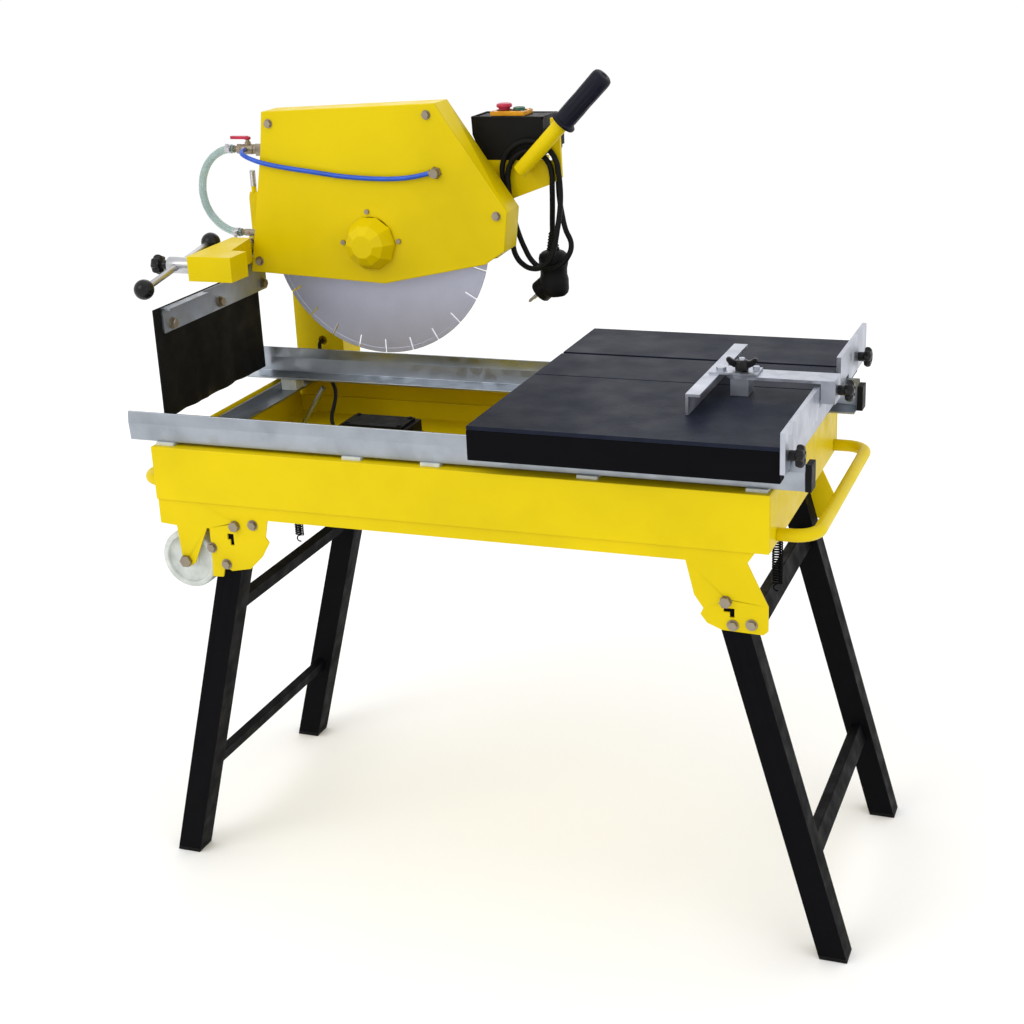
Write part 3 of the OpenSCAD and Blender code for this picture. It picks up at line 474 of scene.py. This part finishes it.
CORD_D, BLUE_D, CLEAR_D, PUMP_LEAD_D = 0.008, 0.007, 0.012, 0.006


PLUG_TILT = -131  # degrees from straight up, in the XZ plane


def placed(route):
    return [CORNER + Vector(point) for point in route]


def make_plug():
    """A moulded angled plug: ribbed strain relief, shoulder, waisted body, face and two contact pins."""
    top = placed(CORD_ROUTE)[-1]
    relief, body = 0.026, 0.068
    bm = bmesh.new()
    profile = [(0.0, 0.0), (0.0046, 0.0)]
    ribs = 6
    for k in range(ribs):
        along = relief * (k + 0.2) / ribs
        radius = 0.0050 + 0.0040 * k / ribs
        profile += [(radius, along), (radius + 0.0011, along + 0.0008), (radius + 0.0011, along + 0.0022),
                    (radius, along + 0.0030)]
    profile += [(0.0096, relief), (0.0160, relief + 0.0025), (0.0205, relief + 0.0065),
                (0.0218, relief + 0.0120)]
    profile += [(0.0216, relief + 0.020), (0.0198, relief + 0.028), (0.0198, relief + 0.036),
                (0.0216, relief + 0.043), (0.0218, relief + 0.058), (0.0205, relief + 0.0635),
                (0.0165, relief + body - 0.0005), (0.0, relief + body)]
    add_lathe(bm, profile, top, -Z, 40)
    tilt = math.radians(PLUG_TILT)
    aim = Vector((math.sin(tilt), 0, math.cos(tilt)))
    face = top + Vector((-0.004, 0, -relief - body + 0.020))
    add_lathe(bm, [(0.0, 0.0), (0.0168, 0.0), (0.0170, 0.0235), (0.0158, 0.0255),
                   (0.0, 0.0258)], face, aim, 40)
    piece = mesh_piece("plug", bm, 40)
    bm = bmesh.new()
    for side in (-1, 1):
        foot = face + aim * 0.0250 + Vector((0, side * 0.0095, 0))
        add_lathe(bm, [(0.0024, 0), (0.0024, 0.016), (0.0016, 0.0185), (0.0, 0.019)], foot, aim, 20)
    pins = mesh_piece("plug_pins", bm)
    dress(piece, "black_rubber", "head", "mains_plug", material="black_plastic")
    dress(pins, "bright_steel", "head", "mains_plug")
    return [piece, pins]


def make_cords():
    plug = make_plug()
    route = placed(CORD_ROUTE)
    lead = dress(curve_piece("mains_lead", route, CORD_D / 2), "black_rubber", "head", "mains_cord",
                 material="black_plastic")
    route = placed(BLUE_ROUTE)
    hose = dress(curve_piece("water_hose", route, BLUE_D / 2), "blue_tube", "head", "blue_hose")
    route = placed(CLEAR_ROUTE)
    supply = dress(curve_piece("supply_hose", route, CLEAR_D / 2), "clear_tube", "head", "clear_hose")
    dress(curve_piece("pump_lead", placed(PUMP_ROUTE), PUMP_LEAD_D / 2), "black_rubber", "base",
          "pump_cable")


make_cords()


# ---- cutting head ----

# places in millimetres from the frame's corner
GRIP_FOOT = (487, 378, 1042)
RIM_LOWEST, RIM_HIGHEST = (339.6, 400.4, 1043.5), (450.4, 462.2, 1048)
INLET, VALVE_LINE = (-32, 362, 878), (-32, 362, 1004)
VALVE_STEM, VALVE_OUTLET = (-8, 362, 1010), (-9, 350, 1004)
GUARD_BOLTS = ((47.5, 1046), (300.7, 1059), (12.6, 841.6), (400.5, 917.7))
HOSE_PORT = (311, 978)
ARM_STUD = (-28, 403, 942)

GRIP_AXIS = Vector((66, 0, 68))
RIM_WALL, SCREW_EDGE = 0.0035, 0.0035  # metres


def make_motor():
    """Flanged motor: cooling fins, fan cowl with a ringed grille, terminal box with a lid and a gland."""
    lowest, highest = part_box("motor")
    axis = pivot("blade_spin")
    start = Vector((axis.x, lowest.y, axis.z))
    bm = bmesh.new()
    profile = [(0.0135, 0.0), (0.0725, 0.0), (0.0748, 0.0020), (0.0748, 0.0070), (0.0730, 0.0090),
               (0.0600, 0.0092), (0.0600, 0.0130), (0.0655, 0.0150), (0.0655, 0.1480), (0.0690, 0.1490),
               (0.0740, 0.1500), (0.0745, 0.1880), (0.0728, 0.1945), (0.0690, 0.1975)]
    for ring in range(6):
        outer = 0.064 - 0.0085 * ring
        profile += [(outer, 0.1978), (outer - 0.0005, 0.1950), (outer - 0.0040, 0.1950),
                    (outer - 0.0045, 0.1978)]
    profile += [(0.0120, 0.1980), (0.0, 0.1980)]
    add_lathe(bm, profile, start, Y, 72)
    outline = [(-0.0013, 0.0640), (0.0013, 0.0640), (0.0009, 0.0728), (-0.0009, 0.0728)]
    bare = 0.62  # half the angle that the terminal box leaves without fins
    for k in range(36):
        angle = math.radians(10 * k)
        if abs((angle - math.pi / 2 + math.pi) % (2 * math.pi) - math.pi) < bare:
            continue
        outward = X * math.cos(angle) + Z * math.sin(angle)
        tangent = Z * math.cos(angle) - X * math.sin(angle)
        add_prism(bm, outline, start + Y * 0.018, tangent, outward, Y * 0.128)
    # bolts of the flange
    for k in range(4):
        angle = math.radians(45 + 90 * k)
        place = start + 0.0655 * (X * math.cos(angle) + Z * math.sin(angle)) + Y * 0.0088
        add_lathe(bm, [(0.0058, 0.0), (0.0058, 0.0050), (0.0050, 0.0058), (0.0, 0.0058)], place, Y, 6)
    body = soften(mesh_piece("motor_body", bm, 32), 0.0005, 2, 40)
    dress(body, "motor_paint", "head", "motor")
    bm = bmesh.new()
    front = lowest.y + 0.034
    foot = axis.z + 0.058
    add_block(bm, (axis.x - 0.0475, front + 0.0025, foot),
              (axis.x + 0.0475, front + 0.0775, highest.z - 0.015), 0.003)
    add_block(bm, (axis.x - 0.0495, front, highest.z - 0.0148),
              (axis.x + 0.0495, front + 0.0795, highest.z - 0.0012), 0.0035)
    for x in (-0.042, 0.042):
        for y in (0.0075, 0.0720):
            place = Vector((axis.x + x, front + y, highest.z - 0.0024))
            add_lathe(bm, [(0.0034, 0), (0.0034, 0.0016), (0.0026, 0.0023), (0.0012, 0.0023),
                           (0.0010, 0.0014), (0.0, 0.0014)], place, Z, 16)
    place = Vector((axis.x + 0.0470, front + 0.040, foot + 0.018))
    add_lathe(bm, [(0.0095, 0), (0.0095, 0.006), (0.0085, 0.0065)], place, X, 6)
    add_lathe(bm, [(0.0080, 0.006), (0.0080, 0.013), (0.0062, 0.0165), (0.0, 0.0165)], place, X, 24)
    cover = mesh_piece("terminal_box", bm, 32)
    dress(cover, "motor_paint", "head", "motor")


def make_grip():
    """Rubber grip: flanged collar, fluted body and a rounded end with a vent."""
    profile = [(0.0112, 0.0, 0), (0.0190, 0.0002, 0), (0.0195, 0.0015, 0), (0.0195, 0.0038, 0),
               (0.0182, 0.0050, 0), (0.0152, 0.0062, 0), (0.0147, 0.0090, 0), (0.0150, 0.0120, 0.02),
               (0.0150, 0.0300, 0.05), (0.0147, 0.0450, 0.05), (0.0150, 0.0600, 0.05),
               (0.0151, 0.0740, 0.02), (0.0152, 0.0800, 0), (0.0150, 0.0850, 0), (0.0138, 0.0886, 0),
               (0.0112, 0.0906, 0), (0.0055, 0.0909, 0), (0.0040, 0.0895, 0), (0.0, 0.0890, 0)]
    grip = lathe("hand_grip", profile, at(*GRIP_FOOT), GRIP_AXIS, 64, 12, 40)
    dress(grip, "grip_rubber", "head", "grip")


def make_switch():
    """Push buttons with bezels, the box's raised rim and the plate's screws."""
    stop, start = centre("stop_button"), centre("start_button")
    foot = Vector((stop.x, stop.y, low("stop_button").z))
    profile = [(0.0, 0.0), (0.0086, 0.0), (0.0086, 0.0144), (0.0096, 0.0148), (0.0112, 0.0156),
               (0.0116, 0.0170), (0.0115, 0.0186), (0.0104, 0.0203), (0.0078, 0.0212), (0.0040, 0.0216),
               (0.0, 0.0216)]
    dress(lathe("stop_mushroom", profile, foot, Z, 48), "red_plastic", "stop", "stop_button")
    foot = Vector((start.x, start.y, low("start_button").z))
    profile = [(0.0, 0.0), (0.0086, 0.0), (0.0087, 0.0142), (0.0080, 0.0154), (0.0068, 0.0155),
               (0.0060, 0.0148), (0.0030, 0.0144), (0.0, 0.0143)]
    dress(lathe("start_key", profile, foot, Z, 48), "green_plastic", "start", "start_button")
    plate_low, plate_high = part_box("switch_plate")
    bm = bmesh.new()
    ring = [(0.0092, 0.0), (0.0118, 0.0), (0.0118, 0.0003), (0.0114, 0.0005), (0.0096, 0.0005),
            (0.0092, 0.0)]
    for button in (stop, start):
        add_lathe(bm, ring, Vector((button.x, button.y, plate_high.z)), Z, 48)
    # raised rim round the top of the box
    left, near, foot_z = at(*RIM_LOWEST)
    right, far, top_z = at(*RIM_HIGHEST)
    for a, b in (((left, near), (right, near + RIM_WALL)), ((left, far - RIM_WALL), (right, far)),
                 ((left, near), (left + RIM_WALL, far)), ((right - RIM_WALL, near), (right, far))):
        add_block(bm, (*a, foot_z), (*b, top_z), 0.0010)
    dress(mesh_piece("switch_rim", bm), "black_plastic", "head")
    bm = bmesh.new()
    for x in (plate_low.x + SCREW_EDGE, plate_high.x - SCREW_EDGE):
        for y in (plate_low.y + SCREW_EDGE, plate_high.y - SCREW_EDGE):
            add_lathe(bm, [(0.0020, 0), (0.0020, 0.0006), (0.0014, 0.0011), (0.0006, 0.0011),
                           (0.0005, 0.0005), (0.0, 0.0005)], (x, y, plate_high.z), Z, 16)
    dress(mesh_piece("plate_screws", bm), "bright_steel", "head")


def make_valve():
    """Ball valve: hexagon bodies, packing nut, hose barbs, bracket and the inlet elbow below it."""
    bm = bmesh.new()
    line = at(*VALVE_LINE)
    barb = [(0.0, 0.0), (0.0036, 0.0), (0.0048, 0.0020), (0.0040, 0.0022), (0.0048, 0.0042),
            (0.0040, 0.0044), (0.0048, 0.0060)]
    add_lathe(bm, barb, line, X, 32)
    add_lathe(bm, [(0.0, 0.006), (0.0072, 0.006), (0.0080, 0.0070), (0.0080, 0.0130),
                   (0.0072, 0.0140)], line, X, 6)
    add_lathe(bm, [(0.0070, 0.014), (0.0074, 0.0150), (0.0078, 0.0190), (0.0078, 0.0290), (0.0074, 0.0330),
                   (0.0070, 0.0340)], line, X, 40)
    add_lathe(bm, [(0.0072, 0.034), (0.0080, 0.0350), (0.0080, 0.0405), (0.0072, 0.0418),
                   (0.0, 0.0418)], line, X, 6)
    stem = at(*VALVE_STEM)
    add_lathe(bm, [(0.0, 0.0), (0.0050, 0.0), (0.0050, 0.0045), (0.0044, 0.0050)], stem, Z, 6)
    add_lathe(bm, [(0.0030, 0.005), (0.0030, 0.0080), (0.0, 0.0080)], stem, Z, 24)
    outlet = at(*VALVE_OUTLET)
    add_lathe(bm, [(0.0, 0.0), (0.0034, 0.0), (0.0036, 0.0050), (0.0049, 0.0052), (0.0049, 0.0090),
                   (0.0, 0.0120)], outlet, Y, 24)
    add_block(bm, at(8, 354, 995), at(27, 357, 1013), 0.0006)
    add_block(bm, at(24, 357, 995), at(27, 370, 1013), 0.0006)
    add_lathe(bm, [(0.0, 0.0), (0.0045, 0.0), (0.0045, 0.0030), (0.0038, 0.0036),
                   (0.0, 0.0036)], at(24, 363, 1004), -X, 6)
    inlet = at(*INLET)
    add_lathe(bm, barb, inlet, X, 32)
    add_lathe(bm, [(0.0, 0.006), (0.0054, 0.006), (0.0060, 0.0068), (0.0060, 0.0150),
                   (0.0054, 0.0158)], inlet, X, 6)
    add_lathe(bm, [(0.0050, 0.0155), (0.0052, 0.0250), (0.0058, 0.0260), (0.0058, 0.0350),
                   (0.0, 0.0364)], inlet, X, 32)
    valve = soften(mesh_piece("valve_body", bm, 30), 0.0003, 2, 40)
    dress(valve, "bright_steel", "head", "water_valve", material="gold_zinc")
    # worm-drive clips on both ends of the clear hose
    bm = bmesh.new()
    band = [(0.0061, 0.0), (0.0068, 0.0), (0.0068, 0.0070), (0.0061, 0.0070), (0.0061, 0.0)]
    for hose_end, lift in ((inlet, 1), (line, -1)):
        end = hose_end - X * 0.004
        add_lathe(bm, band, end, -X, 40)
        add_block(bm, end + Vector((-0.0075, -0.0105, -0.0035)),
                  end + Vector((0.0005, -0.0060, 0.0035)), 0.0006)
        add_lathe(bm, [(0.0, 0.0), (0.0028, 0.0), (0.0028, 0.0050), (0.0, 0.0056)],
                  end + Vector((-0.0035, -0.0085, -0.0034 * lift)), Z * -lift, 6)
    dress(mesh_piece("hose_clips", bm), "bright_steel", "head")
    bm = bmesh.new()
    reach, half = 0.029, 0.0047
    outline = [(0.0, -half), (-reach + half, -half * 0.85)]
    outline += [(-reach + half - half * math.cos(a), half * 0.85 * math.sin(a))
                for a in (-1.0, -0.5, 0.0, 0.5, 1.0)]
    outline += [(-reach + half, half * 0.85), (0.0, half)]
    lever = centre("valve_lever")
    hub = Vector((high("valve_lever").x - 0.005, lever.y, low("valve_lever").z))
    add_prism(bm, outline, hub + Z * 0.0006, X, Y, Z * 0.0044)
    add_lathe(bm, [(0.0, 0.0), (0.0050, 0.0), (0.0050, 0.0040), (0.0, 0.0040)], hub, Z, 32)
    dress(soften(mesh_piece("valve_handle", bm, 30), 0.0006, 2, 40), "red_plastic", "lever", "valve_lever")


def make_pins():
    """Washers under the guard's bolts, the hose port's sealing ring and the stud on the arm."""
    bm = bmesh.new()
    face = low("guard_cover").y - 0.0001
    for x, z in GUARD_BOLTS:
        place = on_plane(x, face, z)
        add_lathe(bm, washer(0.0068, 0.0004, 0.0011), place, -Y, 32)
    x, z = HOSE_PORT
    place = on_plane(x, face, z)
    add_lathe(bm, [(0.0, 0.0), (0.0090, 0.0), (0.0090, 0.0030), (0.0082, 0.0040),
                   (0.0, 0.0040)], place, -Y, 6)
    dress(mesh_piece("guard_washers", bm), "gold_zinc", "head")
    thread = [(0.0, 0.0), (0.0046, 0.0)]
    pitch = 0.0022
    for k in range(10):
        thread += [(0.0047, pitch * k + 0.0008), (0.0043, pitch * k + 0.0019)]
    thread += [(0.0046, 0.0230), (0.0038, 0.0242), (0.0, 0.0242)]
    dress(lathe("arm_stud", thread, at(*ARM_STUD), Z, 32), "bright_steel", "head")


make_motor()
make_grip()
make_switch()
make_valve()
make_pins()


# ---- knobs ----

def star_knob(name, node, body, outward, back=0.0):
    """A lobed clamping knob with a neck and a ringed top; back is the length of a metal stud behind it."""
    lowest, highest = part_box(node)
    middle = centre(node)
    radius = (highest.y - lowest.y) / 2
    depth = highest.x - lowest.x - back
    foot = Vector((lowest.x + back if outward > 0 else highest.x - back, middle.y, middle.z))
    shape = [(0.0, 0.0, 0), (0.42, 0.0, 0), (0.45, 0.03, 0), (0.45, 0.38, 0), (0.62, 0.43, 0.03),
             (0.88, 0.47, 0.16), (0.98, 0.56, 0.24), (1.0, 0.68, 0.25), (0.97, 0.80, 0.25),
             (0.86, 0.90, 0.20), (0.66, 0.96, 0.06), (0.46, 0.985, 0), (0.43, 0.93, 0), (0.24, 0.93, 0),
             (0.22, 0.99, 0), (0.0, 0.99, 0)]
    profile = [(r * radius, a * depth, d) for r, a, d in shape]
    knob = lathe(name, profile, foot, X * outward, 96, 8, 38)
    dress(knob, "knob_plastic", body, node)
    if back:
        stud = [(0.0, 0.0), (0.0036, 0.0)]
        for k in range(5):
            stud += [(0.0040, 0.0004 + back * k / 5), (0.0035, 0.0004 + back * (k + 0.5) / 5)]
        stud += [(0.0036, back), (0.0, back)]
        dress(lathe(name + "_stud", stud, foot, X * -outward, 24), "bright_steel", body, node)


def make_wing_knob():
    middle = centre("guide_wing")
    foot = Vector((middle.x, middle.y, low("guide_wing").z))
    bm = bmesh.new()
    add_lathe(bm, [(0.0042, 0.0), (0.0084, 0.0), (0.0090, 0.0010), (0.0088, 0.0110), (0.0076, 0.0136),
                   (0.0056, 0.0140), (0.0042, 0.0134), (0.0042, 0.0)], foot, Z, 48)
    wing = [(0.0055, 0.0030), (0.0110, 0.0036), (0.0170, 0.0070), (0.0204, 0.0115), (0.0209, 0.0145),
            (0.0195, 0.0167), (0.0165, 0.0168), (0.0120, 0.0138), (0.0055, 0.0120)]
    for side in (-1, 1):
        add_prism(bm, wing, foot - Y * 0.0028, X * side, Z, Y * 0.0056)
    knob = soften(mesh_piece("wing_knob", bm, 30), 0.0012, 3, 40)
    dress(knob, "knob_plastic", "wing_knob", "guide_wing")


star_knob("fence_star_front", "fence_knob_front", "knob_front", 1)
star_knob("fence_star_rear", "fence_knob_rear", "knob_rear", 1)
star_knob("guide_star_knob", "guide_star", "guide_knob", 1)
star_knob("clamp_star_knob", "clamp_star", "clamp_knob", -1, 0.0053)
make_wing_knob()


# ---- frame ----

# places in millimetres from the frame's corner
FRAME_BOLTS = ((80, 505), (101, 482), (148, 544), (824, 471), (848, 474), (120, 540.5), (815, 502.5))
STRIP_FACE, STRIP_BOLT_Z = -16, 795
STRIP_BOLTS_Y = (116, 251, 382)
PUMP_LOWEST, PUMP_HIGHEST = (165, 240, 573.7), (275, 305, 616)


def make_wheel(name, node, body):
    """Nylon wheel: rounded tread, recessed web and a hub."""
    lowest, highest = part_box(node)
    middle = centre(node)
    radius, width = (highest.z - lowest.z) / 2, highest.y - lowest.y
    half = [(0.00515, 0.0), (0.0125, 0.0), (0.0140, 0.0014), (0.0142, 0.0048), (0.0200, 0.0066),
            (0.0300, 0.0066), (0.0338, 0.0050), (0.0345, 0.0010), (0.0352, 0.0002),
            (radius - 0.0034, 0.0), (radius - 0.0012, 0.0010), (radius, 0.0036)]
    profile = half + [(radius, width / 2)] + [(r, width - a) for r, a in reversed(half)] + [half[0]]
    start = Vector((middle.x, lowest.y, middle.z))
    bm = bmesh.new()
    add_lathe(bm, profile, start, Y, 96)
    dress(soften(mesh_piece(name, bm, 32), 0.0004, 2, 40), "nylon", body, node)


def make_spring(name, node, coils, loop):
    """A pull spring with a hook at its lower end and a straight wire above the coil; loop is the length above the
    coil.
    """
    lowest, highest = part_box(node)
    middle = centre(node)
    thick, hook = 0.0011, 0.0048
    radius = (highest.x - lowest.x) / 2 - thick
    bottom, top = lowest.z + 0.012, highest.z - loop
    steps = 16
    points = []
    for k in range(9):
        angle = math.radians(290 - 25 * k)
        points.append(Vector((middle.x + hook * math.cos(angle), middle.y,
                              lowest.z + 0.006 + hook * math.sin(angle))))
    points.append(Vector((middle.x, middle.y, bottom - 0.0006)))
    for k in range(coils * steps + 1):
        angle = 2 * math.pi * k / steps
        points.append(Vector((middle.x + radius * math.cos(angle), middle.y + radius * math.sin(angle),
                              bottom + (top - bottom) * k / (coils * steps))))
    points.append(Vector((middle.x, middle.y, top + 0.0010)))
    points.append(Vector((middle.x, middle.y, highest.z)))
    dress(wire(name, points, thick), "black_paint", "base", node)


def make_washers():
    """Washers under the frame's bolt heads, on both sides."""
    bm = bmesh.new()
    near, far = low("side_panels").y, high("side_panels").y
    sunk = 0.0029
    for x, z in FRAME_BOLTS:
        for y, way in ((near + sunk, -Y), (far - sunk, Y)):
            add_lathe(bm, washer(0.0078, 0.0004, 0.0012), on_plane(x, y, z), way, 32)
    dress(mesh_piece("frame_washers", bm), "gold_zinc", "base")


def make_strip_bolts():
    """Hexagon bolts with washers that clamp the rubber sheet to its strip."""
    bm = bmesh.new()
    for y in STRIP_BOLTS_Y:
        place = at(STRIP_FACE, y, STRIP_BOLT_Z)
        add_lathe(bm, washer(0.0084, 0.0005, 0.0014), place, X, 32)
        add_lathe(bm, [(0.0, 0.0), (0.0070, 0.0), (0.0070, 0.0056), (0.0060, 0.0064),
                       (0.0, 0.0064)], place, X, 6)
    dress(mesh_piece("strip_bolts", bm), "gold_zinc", "base")


def make_pump_vents():
    """Intake ribs and lid screws on the pump."""
    lowest, highest = at(*PUMP_LOWEST), at(*PUMP_HIGHEST)
    bm = bmesh.new()
    for k in range(11):
        x = lowest.x + 0.012 + 0.0085 * k
        add_block(bm, (x, lowest.y - 0.0012, lowest.z + 0.004),
                  (x + 0.0032, lowest.y + 0.001, lowest.z + 0.026), 0.0005)
    for x in (lowest.x + 0.013, highest.x - 0.013):
        for y in (lowest.y + 0.012, highest.y - 0.012):
            add_lathe(bm, [(0.0038, 0.0), (0.0038, 0.0014), (0.0028, 0.0020), (0.0, 0.0020)],
                      (x, y, high("pump").z), Z, 20)
    dress(mesh_piece("pump_vents", bm), "black_plastic", "base")


make_wheel("front_wheel", "wheel_front", "wheel_f")
make_wheel("rear_wheel", "wheel_rear", "wheel_r")
make_spring("left_spring", "spring_left", 24, 0.051)
make_spring("right_spring", "spring_right", 17, 0.031)
make_washers()
make_strip_bolts()
make_pump_vents()


# ---- rubber splash curtain ----

HELD_SHARE = 0.24  # the part of the sheet's height that stays flat behind the strip
HELD_HEIGHT = 0.040
LAST_FRAME = 14
LARGEST_MOVE = 0.006


def make_curtain():
    """A rubber sheet hung from the strip: its top is held and its lower part settles into soft waves."""
    lowest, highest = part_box("splash_curtain")
    width, height = highest.y - lowest.y, highest.z - lowest.z
    middle = (lowest.x + highest.x) / 2
    columns, rows = 44, 24
    bm = bmesh.new()
    grid = []
    for i in range(rows + 1):
        down = i / rows
        line = []
        for j in range(columns + 1):
            across = j / columns
            free = max(0.0, down - HELD_SHARE) / (1 - HELD_SHARE)
            wave = 0.0066 * free ** 1.4 * math.sin(2 * math.pi * (1.35 * across + 0.12))
            wave += 0.0020 * free ** 2 * noise.noise(Vector((across * 7, down * 3, 4.2)))
            line.append(bm.verts.new((middle + wave, lowest.y + width * across, highest.z - height * down)))
        grid.append(line)
    for upper, under in zip(grid, grid[1:]):
        for j in range(columns):
            bm.faces.new((upper[j], upper[j + 1], under[j + 1], under[j]))
    for face in bm.faces:
        face.smooth = True
    mesh = bpy.data.meshes.new("splash_sheet")
    bm.to_mesh(mesh)
    bm.free()
    sheet = link("splash_sheet", mesh)
    held = sheet.vertex_groups.new(name="held")
    held.add([v.index for v in mesh.vertices if v.co.z > highest.z - HELD_HEIGHT], 1.0, "REPLACE")
    cloth = sheet.modifiers.new("hang", "CLOTH")
    settings = cloth.settings
    settings.quality = 12
    settings.mass = 1.2
    settings.tension_stiffness = settings.compression_stiffness = 60
    settings.shear_stiffness = 40
    settings.bending_stiffness = 12
    settings.vertex_group_mass = "held"
    cloth.collision_settings.use_self_collision = False
    cloth.point_cache.frame_start, cloth.point_cache.frame_end = 1, LAST_FRAME
    scene = bpy.context.scene
    for number in range(1, LAST_FRAME + 1):
        scene.frame_set(number)
    graph = bpy.context.evaluated_depsgraph_get()
    settled = [v.co.copy() for v in sheet.evaluated_get(graph).data.vertices]
    sheet.modifiers.remove(cloth)
    scene.frame_set(1)
    for vert, place in zip(sheet.data.vertices, settled):
        move = place - vert.co
        vert.co += move if move.length < LARGEST_MOVE else move.normalized() * LARGEST_MOVE
    solid = sheet.modifiers.new("thickness", "SOLIDIFY")
    solid.thickness = highest.x - lowest.x - 0.0002
    solid.offset = 0
    soften(sheet, 0.0006, 2, 50)
    dress(sheet, "black_rubber", "base", "splash_curtain")


make_curtain()


# ---- CAD nodes that keep their shape ----

FINE_NODES = {"rails", "stop_fences", "cross_fence", "guide_bar", "curtain_strip", "blade", "hub_dome"}
FINE_EDGE, BROAD_EDGE, WELD_DISTANCE = 0.0005, 0.0010, 0.00002


def finish_cad_nodes():
    """Every CAD node gets its slot's material and softly broken edges."""
    slots = {entry["node"]: entry["material_slot"] for entry in frame["record"]["subparts"]}
    for name, node in NODES.items():
        material = MATERIALS[slots[name]]
        if not node.material_slots:
            node.data.materials.append(material)
        for material_slot in node.material_slots:
            material_slot.material = material
        weld = node.modifiers.new("joined_corners", "WELD")
        weld.merge_threshold = WELD_DISTANCE
        soften(node, FINE_EDGE if name in FINE_NODES else BROAD_EDGE, 2, 28)


finish_cad_nodes()


# ---- light, floor and background ----

# each lamp's name, place, size in metres and power in watts
LAMPS = (("key", (-1.6, -2.6, 2.9), 2.2, 28), ("fill", (2.9, -1.8, 1.7), 2.4, 6),
         ("top", (0.3, 0.2, 3.4), 3.0, 8), ("back", (-1.2, 2.8, 2.4), 2.0, 8))
LAMP_TARGET = Vector((0, 0, 0.75))
FLOOR_SIZE, FLOOR_DROP, FLOOR_COLOR = 60, 0.0005, (0.97, 0.97, 0.97)
SKY_STRENGTH = 1.04


def make_light(name, place, size, power):
    data = bpy.data.lights.new(name, "AREA")
    data.shape = "DISK"
    data.size = size
    data.energy = power
    lamp = link(name, data)
    lamp.location = place
    lamp.rotation_euler = (LAMP_TARGET - Vector(place)).to_track_quat("-Z", "Y").to_euler()


def make_studio():
    bm = bmesh.new()
    bmesh.ops.create_grid(bm, x_segments=8, y_segments=8, size=FLOOR_SIZE)
    floor = mesh_piece("studio_floor", bm)
    floor.location.z = -FLOOR_DROP
    shader = Shader("studio_floor", FLOOR_COLOR, 0.95)
    shader.set(Specular_IOR_Level=0.0)
    floor.data.materials.append(shader.material)
    for lamp in LAMPS:
        make_light(*lamp)
    world = bpy.data.worlds.new("studio")
    bpy.context.scene.world = world
    world.use_nodes = True
    sky = world.node_tree.nodes["Background"]
    sky.inputs["Color"].default_value = (1.0, 1.0, 1.0, 1)
    sky.inputs["Strength"].default_value = SKY_STRENGTH
    bpy.context.scene.view_settings.view_transform = "Standard"


make_studio()
